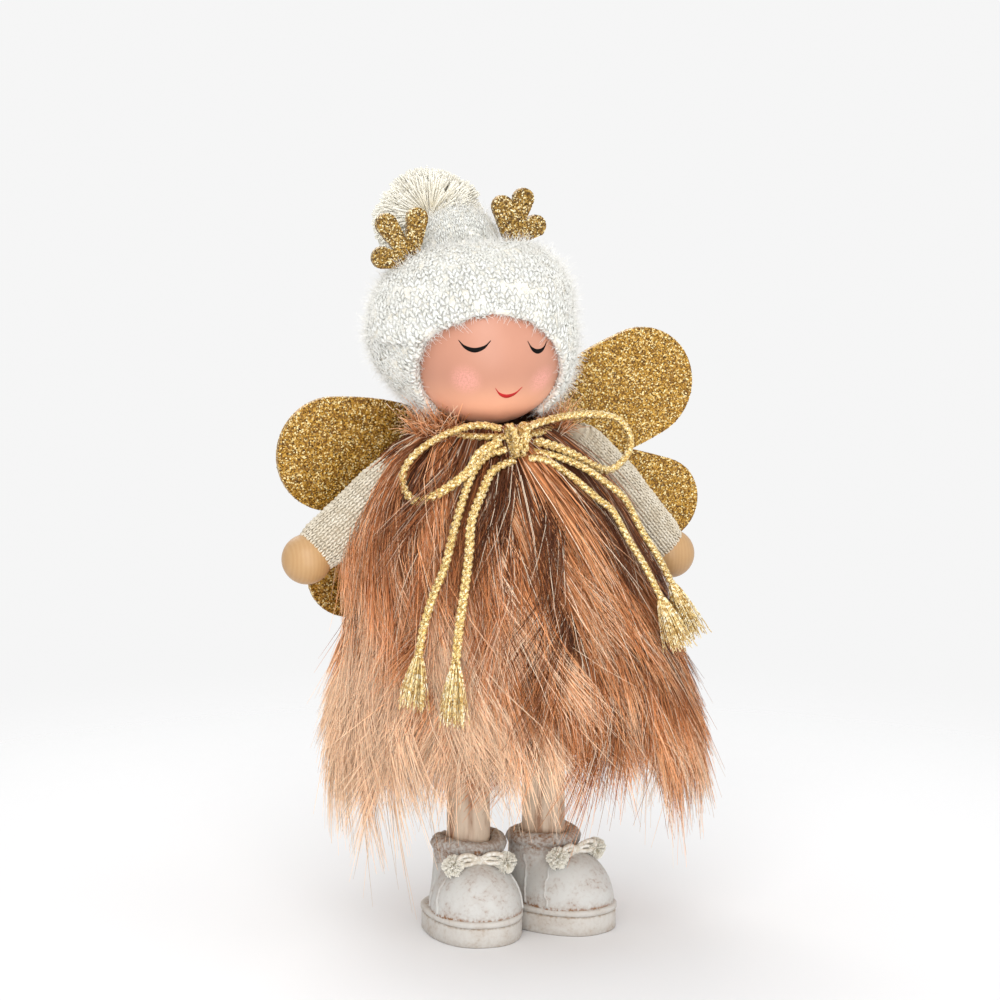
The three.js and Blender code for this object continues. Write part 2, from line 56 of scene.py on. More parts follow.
class Side(Enum):
    """The angel's own left and right, as the sign of X."""

    LEFT = 1
    RIGHT = -1

    @property
    def word(self) -> str:
        """The side as it stands in the names of the CAD nodes."""
        return self.name.lower()


class Body(Enum):
    """The moving bodies of the CAD model."""

    TORSO = "torso"
    HEAD = "head"
    LEFT_ARM = "left_arm"
    RIGHT_ARM = "right_arm"
    LEFT_WING = "left_wing"
    RIGHT_WING = "right_wing"


def srgb(red: int, green: int, blue: int) -> Colour:
    """A colour of 0 to 255 in each part, as linear values."""

    def linear(value: int) -> float:
        """One part of it."""
        part = value / 255
        return part / 12.92 if part <= 0.04045 else ((part + 0.055) / 1.055) ** 2.4

    return (linear(red), linear(green), linear(blue), 1.0)


def metres(points: Sequence[Sequence[float]]) -> np.ndarray:
    """Points of the figure in millimetres as points of the frame in metres."""
    return (np.asarray(points, dtype=float) + OFFSET) * MM


def unit(vector: Sequence[float]) -> np.ndarray:
    """The vector at length one."""
    array = np.asarray(vector, dtype=float)
    return array / np.linalg.norm(array)


def round_angles(count: int) -> np.ndarray:
    """Angles in so many even steps once round."""
    return np.linspace(0, 2 * math.pi, count, endpoint=False)


def spin(degrees: float) -> np.ndarray:
    """The matrix of a turn about the upright axis."""
    cosine, sine = math.cos(math.radians(degrees)), math.sin(math.radians(degrees))
    return np.array([[cosine, -sine, 0], [sine, cosine, 0], [0, 0, 1]])


def even_steps(line: np.ndarray, count: int, closed: bool = False) -> np.ndarray:
    """So many points, evenly spaced along a line of points.

    Args:
        line: The points of the line, as rows.
        count: How many points come back.
        closed: Whether the line's end is its start, which then comes back once.

    Returns:
        The points, as rows.
    """
    gone = np.concatenate([[0.0], np.cumsum(np.linalg.norm(np.diff(line, axis=0), axis=1))])
    wanted = np.linspace(0, gone[-1], count, endpoint=not closed)
    return np.stack([np.interp(wanted, gone, line[:, axis]) for axis in range(3)], axis=1)


# Node graphs


@dataclass(frozen=True)
class Wire:
    """One output socket, with arithmetic that adds Math nodes."""

    graph: "Graph"
    socket: NodeSocket

    def math(self, operation: str, *values: object) -> "Wire":
        """A Math node over this wire and the other values."""
        inputs = dict(enumerate((self, *values)))
        return self.graph.node("ShaderNodeMath", {"operation": operation}, inputs)

    def __add__(self, other: object) -> "Wire":
        """The sum."""
        return self.math("ADD", other)

    def __sub__(self, other: object) -> "Wire":
        """The difference."""
        return self.math("SUBTRACT", other)

    def __rsub__(self, other: float) -> "Wire":
        """The other number less this wire."""
        return self.math("MULTIPLY", -1.0).math("ADD", other)

    def __mul__(self, other: object) -> "Wire":
        """The product."""
        return self.math("MULTIPLY", other)

    def __truediv__(self, other: object) -> "Wire":
        """The quotient."""
        return self.math("DIVIDE", other)

    def __rtruediv__(self, other: float) -> "Wire":
        """The other number over this wire."""
        return self.math("POWER", -1.0).math("MULTIPLY", other)

    def __pow__(self, other: object) -> "Wire":
        """The power."""
        return self.math("POWER", other)

    __radd__ = __add__
    __rmul__ = __mul__

    def over(self, low: object, high: object, start: object = 0.0, end: object = 1.0) -> "Wire":
        """This wire carried smoothly from start to end as it goes from low to high."""
        return self.graph.node(
            "ShaderNodeMapRange",
            {"interpolation_type": "SMOOTHSTEP"},
            {"Value": self, "From Min": low, "From Max": high, "To Min": start, "To Max": end},
        )

    def held(self) -> "Wire":
        """This wire kept between 0 and 1."""
        return self.math("MAXIMUM", 0.0).math("MINIMUM", 1.0)

    def other(self, name: str | int) -> "Wire":
        """Another output of the same node."""
        return Wire(self.graph, self.socket.node.outputs[name])


class Graph:
    """Adds nodes to one node tree."""

    def __init__(self, tree: NodeTree) -> None:
        self.tree = tree

    def node(
        self,
        kind: str,
        settings: dict[str, object] | None = None,
        inputs: dict[str | int, object] | None = None,
        out: str | int = 0,
    ) -> Wire:
        """Add a node.

        Args:
            kind: The node's type.
            settings: Its properties; "stops" fills a colour ramp and "curve" a float curve.
            inputs: Values or wires by socket name or place.
            out: The output that is handed back.

        Returns:
            That output as a wire.
        """
        made = self.tree.nodes.new(kind)
        for key, value in (settings or {}).items():
            if key == "stops":
                self._fill_ramp(made, value)
            elif key == "curve":
                self._fill_curve(made, value)
            else:
                setattr(made, key, value)
        for key, value in (inputs or {}).items():
            if isinstance(value, Wire):
                self.tree.links.new(value.socket, made.inputs[key])
            else:
                made.inputs[key].default_value = value
        return Wire(self, made.outputs[out])

    @staticmethod
    def _fill_ramp(node: Node, stops: Sequence[tuple[float, Colour]]) -> None:
        """Set the stops of a colour ramp."""
        elements = node.color_ramp.elements
        while len(elements) < len(stops):
            elements.new(0.5)
        for element, (place, colour) in zip(elements, stops):
            element.position = place
            element.color = colour

    @staticmethod
    def _fill_curve(node: Node, points: Sequence[Pair]) -> None:
        """Set the points of a float curve."""
        curve = node.mapping.curves[0]
        while len(curve.points) < len(points):
            curve.points.new(0.5, 0.5)
        for point, (across, height) in zip(curve.points, points):
            point.location = (across, height)
        node.mapping.update()

    def vector(self, x: object, y: object, z: object) -> Wire:
        """A vector from three values."""
        return self.node("ShaderNodeCombineXYZ", None, {0: x, 1: y, 2: z})

    def part(self, vector: Wire, out: str = "X") -> Wire:
        """One part of a vector or colour."""
        return self.node("ShaderNodeSeparateXYZ", None, {0: vector}, out)

    def total(self, first: Wire, *others: Wire) -> Wire:
        """The sum of vectors."""
        for other in others:
            first = self.vectors("ADD", first, other)
        return first

    def feed(self, wire: Wire, shader: Node, name: str) -> None:
        """Lead a wire into a named socket of a shader."""
        self.tree.links.new(wire.socket, shader.inputs[name])

    def vectors(self, operation: str, *values: object, out: str | int = 0) -> Wire:
        """A Vector Math node."""
        inputs = dict(enumerate(values))
        return self.node("ShaderNodeVectorMath", {"operation": operation}, inputs, out)

    def scaled(self, vector: object, factor: object) -> Wire:
        """A vector times a number."""
        inputs = {0: vector, "Scale": factor}
        return self.node("ShaderNodeVectorMath", {"operation": "SCALE"}, inputs)

    def mixed(self, factor: object, first: object, second: object) -> Wire:
        """A colour between two colours."""
        return self.node("ShaderNodeMix", {"data_type": "RGBA"}, {0: factor, 6: first, 7: second}, 2)

    def ramp(self, factor: Wire, stops: Sequence[tuple[float, Colour]]) -> Wire:
        """A colour from a ramp."""
        return self.node("ShaderNodeValToRGB", {"stops": stops}, {"Fac": factor})

    def place(self) -> Wire:
        """The place on the piece, in metres."""
        return self.node("ShaderNodeTexCoord", None, None, "Object")

    def noise(self, place: Wire, scale: float, detail: float = 2.0) -> Wire:
        """Noise from 0 to 1 at a place."""
        inputs = {"Vector": place, "Scale": scale, "Detail": detail}
        return self.node("ShaderNodeTexNoise", None, inputs)


# Finishes


@dataclass(frozen=True)
class Finish:
    """A finish that is made once as a material."""

    name: str
    slot: str
    roughness: float = 0.6
    gloss: float = 0.5

    def material(self) -> Material:
        """The material, made at the first call."""
        known = bpy.data.materials.get(self.name)
        if known:
            return known
        made = bpy.data.materials.new(self.name)
        made.use_nodes = True
        graph = Graph(made.node_tree)
        shader = made.node_tree.nodes["Principled BSDF"]
        shader.inputs["Roughness"].default_value = self.roughness
        shader.inputs["Specular IOR Level"].default_value = self.gloss
        self.paint(graph, shader)
        return made

    def paint(self, graph: Graph, shader: Node) -> None:
        """Fill in the shader.

        Args:
            graph: The material's node graph.
            shader: Its surface shader.
        """
        raise NotImplementedError

    def bump(self, graph: Graph, shader: Node, height: Wire, depth: float) -> None:
        """Raise the surface by a height of the given depth in metres."""
        normal = graph.node("ShaderNodeBump", None, {"Height": height, "Distance": depth})
        graph.feed(normal, shader, "Normal")


@dataclass(frozen=True)
class MottledFinish(Finish):
    """Two colours mottled by noise, with a fine grain raised on the surface."""

    dark: Colour = (0.5, 0.5, 0.5, 1.0)
    light: Colour = (0.8, 0.8, 0.8, 1.0)
    scale: float = 200.0
    grain: float = 1500.0
    depth: float = 0.00005

    def paint(self, graph: Graph, shader: Node) -> None:
        """Fill in the shader."""
        place = graph.place()
        tone = graph.noise(place, self.scale, 4.0).over(0.3, 0.7)
        graph.feed(graph.mixed(tone, self.dark, self.light), shader, "Base Color")
        self.bump(graph, shader, graph.noise(place, self.grain), self.depth)


@dataclass(frozen=True)
class StrandFinish(Finish):
    """Fibres coloured along their length and from strand to strand, read from their own map."""

    root: Colour = (0.2, 0.1, 0.05, 1.0)
    middle: Colour = (0.4, 0.25, 0.15, 1.0)
    tip: Colour = (0.8, 0.6, 0.5, 1.0)
    glow: Colour = (0.9, 0.8, 0.7, 1.0)
    pale: Colour = (0.9, 0.8, 0.7, 1.0)
    pale_from: float = 0.9
    sheen: float = 0.2
    contrast: float = 0.0

    def paint(self, graph: Graph, shader: Node) -> None:
        """Fill in the shader."""
        shader.inputs["Sheen Weight"].default_value = self.sheen
        tone = graph.part(graph.node("ShaderNodeUVMap", {"uv_map": STRAND_MAP}))
        shade = tone.other("Y")
        stops = [(0.0, self.root), (0.42, self.middle), (0.76, self.tip), (1.0, self.glow)]
        along = graph.ramp(shade, stops)
        bright = tone.over(0.0, self.pale_from, 1.0 - self.contrast, 1.0 + self.contrast * 0.6)
        varied = graph.scaled(along, bright)
        paled = graph.mixed(tone.over(self.pale_from - 0.03, 1.0), varied, self.pale)
        graph.feed(paled, shader, "Base Color")


@dataclass(frozen=True)
class GlitterFinish(Finish):
    """Glitter grains on foam: each grain has its own tone and shine."""

    dark: Colour = srgb(82, 52, 8)
    middle: Colour = srgb(156, 110, 34)
    light: Colour = srgb(212, 164, 66)
    spark: Colour = srgb(255, 240, 184)
    grain: float = 2300.0

    def paint(self, graph: Graph, shader: Node) -> None:
        """Fill in the shader."""
        place = graph.place()
        inputs = {"Vector": place, "Scale": self.grain}
        tone = graph.part(graph.node("ShaderNodeTexVoronoi", None, inputs, "Color"))
        shine = tone.other("Y")
        stops = [(0.0, self.dark), (0.4, self.middle), (0.78, self.light), (1.0, self.spark)]
        graph.feed(graph.ramp(tone, stops), shader, "Base Color")
        graph.feed(shine.over(0.45, 0.6, 0.1, 0.6), shader, "Metallic")
        graph.feed(shine.over(0.3, 0.9, 0.5, 0.22), shader, "Roughness")
        self.bump(graph, shader, tone.other("Z"), 0.0004)


@dataclass(frozen=True)
class WoodFinish(Finish):
    """Turned wood with faint rings."""

    light: Colour = srgb(186, 148, 102)
    dark: Colour = srgb(178, 138, 91)
    rings: float = 260.0

    def paint(self, graph: Graph, shader: Node) -> None:
        """Fill in the shader."""
        shader.inputs["Coat Weight"].default_value = 0.12
        place = graph.place()
        stretched = graph.vectors("MULTIPLY", place, (1.0, 1.0, 0.22))
        inputs = {"Vector": stretched, "Scale": self.rings, "Distortion": 4.0, "Detail": 2.0}
        ring = graph.node("ShaderNodeTexWave", {"wave_type": "BANDS"}, inputs, "Fac")
        fine = graph.noise(stretched, self.rings * 6.0, 3.0)
        tone = ring * 0.6 + fine * 0.4
        graph.feed(graph.mixed(tone, self.dark, self.light), shader, "Base Color")
        self.bump(graph, shader, fine, 0.00003)


@dataclass(frozen=True)
class WashFinish(Finish):
    """Pale casting with a brown wash that stays in its lows and streaks."""

    pale: Colour = srgb(197, 196, 192)
    wash: Colour = srgb(136, 98, 68)
    stretch: Point = (1.0, 1.0, 1.0)
    amount: float = 0.22
    scale: float = 160.0

    def paint(self, graph: Graph, shader: Node) -> None:
        """Fill in the shader."""
        place = graph.vectors("MULTIPLY", graph.place(), self.stretch)
        broad = graph.noise(place, self.scale, 5.0).over(0.42, 0.72)
        fine = graph.noise(place, self.scale * 6.0, 3.0)
        hollow = graph.node("ShaderNodeAttribute", {"attribute_name": HOLLOW}, None, "Fac")
        speck = fine.over(0.5, 0.72) * broad.over(0.0, 0.6, 0.25, 1.0)
        tone = broad * self.amount + speck * 0.4 + hollow * fine.over(0.32, 0.6, 0.1, 0.95)
        tone = tone.math("MINIMUM", 1.0)
        graph.feed(graph.mixed(tone, self.pale, self.wash), shader, "Base Color")
        self.bump(graph, shader, fine, 0.00012)


@dataclass(frozen=True)
class FaceFinish(Finish):
    """Painted skin with two soft blushes; a painted light makes it paler towards the shaded chin."""

    skin: Colour = srgb(187, 131, 108)
    # The lighter colour towards the chin is painted light, set against the shade that falls under the chin.
    chin: Colour = srgb(255, 190, 158)
    blush: Colour = srgb(255, 178, 172)
    centre: Point = (0.0, 0.0, 0.0)
    cheeks: tuple[Point, ...] = ()
    cheek_size: float = 0.0066

    def paint(self, graph: Graph, shader: Node) -> None:
        """Fill in the shader."""
        place = graph.place()
        height = graph.part(place, "Z")
        # Painted light: towards the chin the skin turns to the lighter colour, against the shade that falls
        # there.
        low = height.over(self.centre[2] - 0.005, self.centre[2] - 0.02)
        mottled = graph.noise(place, 120.0, 3.0)
        colour = graph.mixed(low ** 1.5 * 0.9 + mottled * 0.1, self.skin, self.chin)
        for cheek in self.cheeks:
            away = graph.vectors("DISTANCE", place, cheek, out="Value")
            soft = away.over(self.cheek_size, self.cheek_size * 0.2, 0.0, 0.42)
            dabbed = graph.noise(place, 2200.0).over(0.35, 0.6, 0.35, 1.0)
            colour = graph.mixed(soft * dabbed, colour, self.blush)
        graph.feed(colour, shader, "Base Color")
        self.bump(graph, shader, graph.noise(place, 900.0), 0.00002)


STRAND_MAP = "Strand"
HOLLOW = "hollow"

FUR = StrandFinish(
    "fur fibre", "fur", 0.55,
    root=srgb(88, 44, 20), middle=srgb(202, 126, 74), tip=srgb(246, 180, 126),
    glow=srgb(255, 220, 186), pale=srgb(255, 236, 210), pale_from=0.83, contrast=0.46, sheen=0.0, gloss=0.3,
)
FUR_BACK = MottledFinish(
    "fur backing", "fur", 0.9, dark=srgb(92, 58, 40), light=srgb(132, 90, 66), scale=300.0,
)
# Its roots are darker than its tips: a painted shade inside the pompom and the lace balls.
YARN = StrandFinish(
    "pompom yarn", "hat_yarn", 0.75,
    root=srgb(230, 220, 194), middle=srgb(241, 234, 215), tip=srgb(249, 245, 233),
    glow=srgb(250, 247, 236), pale=srgb(250, 247, 236), pale_from=0.8, sheen=0.35,
)
FUZZ = StrandFinish(
    "wool fuzz", "hat_knit", 0.8,
    root=srgb(236, 233, 224), middle=srgb(246, 244, 238), tip=srgb(252, 251, 248),
    glow=srgb(252, 251, 248), pale=srgb(252, 251, 248), pale_from=0.8, sheen=0.3,
)
HAT_KNIT = MottledFinish(
    "hat wool", "hat_knit", 0.85,
    dark=srgb(230, 230, 223), light=srgb(246, 247, 243), scale=240.0, grain=2600.0, depth=0.0002,
)
HAT_LINING = MottledFinish(
    "hat wool in the gaps", "hat_knit", 0.9,
    dark=srgb(232, 226, 210), light=srgb(246, 244, 238), scale=420.0,
)
SLEEVE_KNIT = MottledFinish(
    "sleeve knit", "sleeve_knit", 0.85,
    dark=srgb(208, 196, 174), light=srgb(226, 217, 199), scale=240.0, grain=2600.0, depth=0.0002,
)
SLEEVE_LINING = MottledFinish(
    "sleeve knit in the gaps", "sleeve_knit", 0.9,
    dark=srgb(186, 172, 148), light=srgb(208, 196, 174), scale=500.0,
)
GLITTER = GlitterFinish("wing glitter", "glitter_foam", 0.4)
PALE_GLITTER = GlitterFinish(
    "antler glitter", "glitter_foam", 0.4,
    dark=srgb(64, 42, 10), middle=srgb(128, 92, 30), light=srgb(192, 152, 72), spark=srgb(255, 244, 200),
)
BEAD_WOOD = WoodFinish("bead wood", "bare_wood", 0.5)
PEG_WOOD = WoodFinish("peg wood", "bare_wood", 0.7, rings=180.0)
PLY = WoodFinish("plywood", "plywood", 0.75, light=srgb(214, 182, 140), dark=srgb(176, 138, 98), rings=90.0)
CASTING = WashFinish("washed casting", "resin", 0.7)
SOLE = WashFinish(
    "sole casting", "resin", 0.75, pale=srgb(196, 192, 186), wash=srgb(164, 146, 128), amount=0.3,
)
LEG = WashFinish(
    "washed leg", "leg_paint", 0.65, pale=srgb(218, 198, 176), wash=srgb(150, 104, 72),
    stretch=(1.0, 1.0, 0.16), amount=0.8, scale=260.0,
)
LACE = MottledFinish(
    "lace", "resin", 0.8, dark=srgb(206, 196, 178), light=srgb(240, 237, 230), scale=900.0, depth=0.0002,
)
GOLD = GlitterFinish(
    "gold lurex", "gold_cord", 0.35,
    dark=srgb(150, 108, 40), middle=srgb(222, 186, 108), light=srgb(244, 220, 158), spark=srgb(255, 246, 214),
    grain=2600.0,
)
LOOSE_GOLD = GlitterFinish(
    "loose lurex", "gold_cord", 0.35,
    dark=srgb(178, 136, 66), middle=srgb(232, 202, 134), light=srgb(250, 232, 182), spark=srgb(255, 250, 228),
    grain=1200.0,
)
STUFFING = MottledFinish("stuffing", "stuffing", 0.95, dark=srgb(226, 222, 212), light=srgb(244, 242, 236))
FELT = MottledFinish("felt pad", "felt", 0.95, dark=srgb(150, 112, 60), light=srgb(184, 146, 88), scale=900.0)
WIRE = MottledFinish("arm wire", "wire", 0.4, dark=srgb(120, 120, 124), light=srgb(150, 150, 154))
EYE_PAINT = MottledFinish("eye paint", "painted_skin", 0.7, 0.1, dark=srgb(8, 6, 6), light=srgb(16, 12, 12))
MOUTH_PAINT = MottledFinish(
    "mouth paint", "painted_skin", 0.6, dark=srgb(168, 10, 16), light=srgb(190, 18, 24),
)


# Mesh making


def link(name: str, mesh: Mesh) -> Object:
    """A new object of the scene that holds the mesh."""
    made = bpy.data.objects.new(name.replace(" ", "_"), mesh)
    bpy.context.scene.collection.objects.link(made)
    return made


def mesh_of(name: str, points: np.ndarray, faces: Sequence[Sequence[int]]) -> Mesh:
    """A smooth mesh from points in metres and faces."""
    mesh = bpy.data.meshes.new(name)
    mesh.from_pydata([tuple(point) for point in points], [], [tuple(face) for face in faces])
    mesh.validate()
    mesh.shade_smooth()
    return mesh


def grid_faces(rows: int, columns: int, start: int = 0, closed: bool = False) -> list[tuple[int, ...]]:
    """Faces of rows of points that each run once round.

    Args:
        rows: How many rows there are.
        columns: Points in a row.
        start: Number of the first point.
        closed: Whether the last row joins the first.

    Returns:
        The faces as point numbers.
    """
    faces = []
    for row in range(rows if closed else rows - 1):
        lower, upper = start + row * columns, start + (row + 1) % rows * columns
        for column in range(columns):
            beside = (column + 1) % columns
            faces.append((lower + column, lower + beside, upper + beside, upper + column))
    return faces


class Shape:
    """Collects points and faces of one mesh."""

    def __init__(self) -> None:
        self.points: list[np.ndarray] = []
        self.faces: list[tuple[int, ...]] = []
        self.hollows: list[float] = []

    def add_point(self, point: Sequence[float], hollow: float = 0.0) -> int:
        """Add one point and give its number."""
        self.points.append(np.asarray(point, dtype=float))
        self.hollows.append(hollow)
        return len(self.points) - 1

    def rings(self, rings: Sequence[np.ndarray], caps: bool = True, closed: bool = False,
              hollow: Sequence[float] | None = None) -> None:
        """Add a skin through rings of points.

        Args:
            rings: Rings of as many points each, turning the same way.
            caps: Whether both ends are closed to a middle point.
            closed: Whether the last ring joins the first.
            hollow: How much of the wash each ring holds.
        """
        start = len(self.points)
        columns = len(rings[0])
        for number, ring in enumerate(rings):
            for point in ring:
                self.add_point(point, hollow[number] if hollow is not None else 0.0)
        self.faces += grid_faces(len(rings), columns, start, closed)
        if not caps or closed:
            return
        last = start + (len(rings) - 1) * columns
        for ring, first, turned in ((rings[0], start, True), (rings[-1], last, False)):
            middle = self.add_point(np.mean(ring, axis=0))
            for column in range(columns):
                pair = (first + column, first + (column + 1) % columns)
                self.faces.append((*(pair[::-1] if turned else pair), middle))

    def tube(self, path: np.ndarray, radius: float | Sequence[float], sides: int) -> None:
        """Add a round tube along a path.

        Args:
            path: The points that it follows, in metres.
            radius: Its radius, or one for each point.
            sides: Points round it.
        """
        radii = np.broadcast_to(np.asarray(radius, dtype=float), (len(path),))
        rings = []
        for point, (normal, beside), size in zip(path, path_frames(path), radii):
            around = [math.cos(angle) * normal + math.sin(angle) * beside for angle in round_angles(sides)]
            rings.append(np.array([point + size * way for way in around]))
        self.rings(rings)

    def ball(self, centre: Sequence[float], radius: float, rows: int = 12, columns: int = 20) -> None:
        """Add a ball.

        Args:
            centre: Its middle, in metres.
            radius: Its radius.
            rows: Steps from its lowest point to its highest.
            columns: Points round it.
        """
        heart = np.asarray(centre)
        rings = []
        for row in range(1, rows):
            lift = -math.cos(math.pi * row / rows) * radius
            wide = math.sin(math.pi * row / rows) * radius
            ring = [heart + (wide * math.cos(a), wide * math.sin(a), lift) for a in round_angles(columns)]
            rings.append(np.array(ring))
        lowest = len(self.points) + len(rings) * columns
        self.rings(rings)
        self.points[lowest] = heart + (0, 0, -radius)
        self.points[lowest + 1] = heart + (0, 0, radius)

    def mesh(self, name: str) -> Mesh:
        """The mesh, with its wash as an attribute."""
        made = mesh_of(name, np.array(self.points), self.faces)
        if any(self.hollows):
            made.attributes.new(HOLLOW, "FLOAT", "POINT").data.foreach_set("value", self.hollows)
        return made

    def piece(self, name: str, finish: Finish, body: Body, *nodes: str) -> Object:
        """The shape as a finished piece, which may stand for CAD nodes."""
        return dress_piece(link(name, self.mesh(name)), finish, body, *nodes)


def path_frames(path: np.ndarray) -> list[tuple[np.ndarray, np.ndarray]]:
    """Ways across an open path that turn as little as they can.

    Args:
        path: The points of the path, as rows.

    Returns:
        Two ways at each of its points, square to the path and to each other.
    """
    ahead = np.gradient(path, axis=0)
    frames = []
    first = unit(ahead[0])
    guess = np.array([0.0, 0.0, 1.0]) if abs(first[2]) < 0.9 else np.array([1.0, 0.0, 0.0])
    normal = unit(np.cross(np.cross(first, guess), first))
    for step in ahead:
        along = unit(step)
        normal = unit(normal - along * np.dot(normal, along))
        frames.append((normal, np.cross(along, normal)))
    return frames


def smooth_path(points: Sequence[Sequence[float]], count: int, closed: bool = False) -> np.ndarray:
    """Evenly spaced points of a smooth line through the given points.

    Args:
        points: The points that it passes.
        count: How many points come back.
        closed: Whether it comes back to its start.

    Returns:
        The points, as rows.
    """
    known = np.asarray(points, dtype=float)
    if closed:
        padded = np.vstack([known[-1], known, known[0], known[1]])
    else:
        padded = np.vstack([2 * known[0] - known[1], known, 2 * known[-1] - known[-2]])
    dense = []
    for before, start, end, after in zip(padded, padded[1:], padded[2:], padded[3:]):
        for part in np.linspace(0, 1, 16, endpoint=False):
            dense.append(
                0.5 * (2 * start + (end - before) * part
                       + (2 * before - 5 * start + 4 * end - after) * part**2
                       + (3 * start - before - 3 * end + after) * part**3)
            )
    dense.append(known[0] if closed else known[-1])
    return even_steps(np.array(dense), count, closed)


def path_length(path: np.ndarray) -> float:
    """The length of a path."""
    return float(np.linalg.norm(np.diff(path, axis=0), axis=1).sum())


def dress_piece(piece: Object, finish: Finish, body: Body, *nodes: str) -> Object:
    """Finish a piece and hang it on its body.

    Args:
        piece: The piece.
        finish: Its finish, which is laid on unless the piece has one.
        body: The body that it moves with.
        nodes: The CAD nodes that it stands for.

    Returns:
        The same piece.
    """
    if not piece.data.materials:
        piece.data.materials.append(finish.material())
    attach(piece, body.value)
    if nodes:
        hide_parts(*nodes)
    log.info("%s in %s on the %s", piece.name, finish.name, body.value)
    return piece


# Geometry Nodes


class Recipe:
    """A Geometry Nodes group with named inputs, grown into plain meshes."""

    def __init__(self, name: str) -> None:
        self.tree = bpy.data.node_groups.new(name, "GeometryNodeTree")
        self.graph = Graph(self.tree)
        self.names: dict[str, str] = {}
        face = self.tree.interface
        face.new_socket("Geometry", in_out="INPUT", socket_type="NodeSocketGeometry")
        face.new_socket("Geometry", in_out="OUTPUT", socket_type="NodeSocketGeometry")
        self.source = self.tree.nodes.new("NodeGroupInput")
        self.sink = self.tree.nodes.new("NodeGroupOutput")
        self.carrier = Wire(self.graph, self.source.outputs[0])
        (self.material,) = self.inputs("Material", "Material")

    def inputs(self, kind: str, *names: str) -> list[Wire]:
        """Add inputs of one kind.

        Args:
            kind: The kind of their sockets.
            names: Their names.

        Returns:
            Their wires, in the same order.
        """
        wires = []
        for name in names:
            made = self.tree.interface.new_socket(name, in_out="INPUT", socket_type="NodeSocket" + kind)
            self.names[name] = made.identifier
            wires.append(Wire(self.graph, self.source.outputs[name]))
        return wires

    def end(self, geometry: Wire) -> "Recipe":
        """Realize the geometry, give it the material and hand it out."""
        plain = self.graph.node("GeometryNodeRealizeInstances", None, {0: geometry})
        inputs = {"Geometry": plain, "Material": self.material}
        finished = self.graph.node("GeometryNodeSetMaterial", None, inputs)
        self.tree.links.new(finished.socket, self.sink.inputs[0])
        return self

    def piece(self, name: str, finish: Finish, body: Body, values: dict[str, object],
              carrier: Mesh | None = None, nodes: Sequence[str] = ()) -> Object:
        """Run the recipe and finish the piece that it gives.

        Args:
            name: Name of the piece.
            finish: Its finish.
            body: The body that it moves with.
            values: The recipe's named inputs.
            carrier: The mesh that the recipe starts from, if it needs one.
            nodes: The CAD nodes that the piece stands for.

        Returns:
            The piece, as a plain mesh.
        """
        made = link(name, bpy.data.meshes.new(name) if carrier is None else carrier)
        modifier = made.modifiers.new(name, "NODES")
        modifier.node_group = self.tree
        for key, value in {**values, "Material": finish.material()}.items():
            modifier[self.names[key]] = value
        graph = bpy.context.evaluated_depsgraph_get()
        mesh = bpy.data.meshes.new_from_object(
            made.evaluated_get(graph), preserve_all_data_layers=True, depsgraph=graph
        )
        made.modifiers.clear()
        made.data = mesh
        mesh.name = name
        mesh.shade_smooth()
        return dress_piece(made, finish, body, *nodes)

    def random(self, low: float, high: float, identity: Wire, seed: Wire | float) -> Wire:
        """A random number of its own for each identity."""
        inputs = {2: low, 3: high, "ID": identity, "Seed": seed}
        return self.graph.node("FunctionNodeRandomValue", {"data_type": "FLOAT"}, inputs, 1)

    def random_vector(self, identity: Wire, seed: Wire | float) -> Wire:
        """A random vector from -1 to 1 for each identity."""
        inputs = {0: (-1.0, -1.0, -1.0), 1: (1.0, 1.0, 1.0), "ID": identity, "Seed": seed}
        return self.graph.node("FunctionNodeRandomValue", {"data_type": "FLOAT_VECTOR"}, inputs, 0)

    def store(
        self, geometry: Wire, name: str, value: Wire, kind: str = "FLOAT", domain: str = "POINT"
    ) -> Wire:
        """Keep a value on the geometry under a name."""
        settings = {"data_type": kind, "domain": domain}
        return self.graph.node("GeometryNodeStoreNamedAttribute", settings, {0: geometry, 2: name, 3: value})

    def named(self, name: str, kind: str = "FLOAT") -> Wire:
        """A value kept under a name."""
        return self.graph.node("GeometryNodeInputNamedAttribute", {"data_type": kind}, {"Name": name})

    def strands(self, points: Wire, count: Wire) -> tuple[Wire, Wire, Wire]:
        """A straight line on each point, ready to be shaped.

        Args:
            points: The points that carry the lines.
            count: How many points a line has.

        Returns:
            The lines, the number of a point's own line, and how far along it the point is, from 0 to 1.
        """
        graph = self.graph
        line = graph.node("GeometryNodeCurvePrimitiveLine")
        cut = graph.node("GeometryNodeResampleCurve", None, {"Curve": line, "Count": count})
        placed = graph.node("GeometryNodeInstanceOnPoints", None, {"Points": points, "Instance": cut})
        lines = graph.node("GeometryNodeRealizeInstances", None, {0: placed})
        number = (graph.node("GeometryNodeInputIndex") / count + 0.0001).math("FLOOR")
        return lines, number, graph.node("GeometryNodeSplineParameter")

    def loose_strands(self, many: Wire, count: Wire) -> tuple[Wire, Wire, Wire]:
        """So many strands that start from no surface."""
        return self.strands(self.graph.node("GeometryNodePoints", None, {"Count": many}), count)

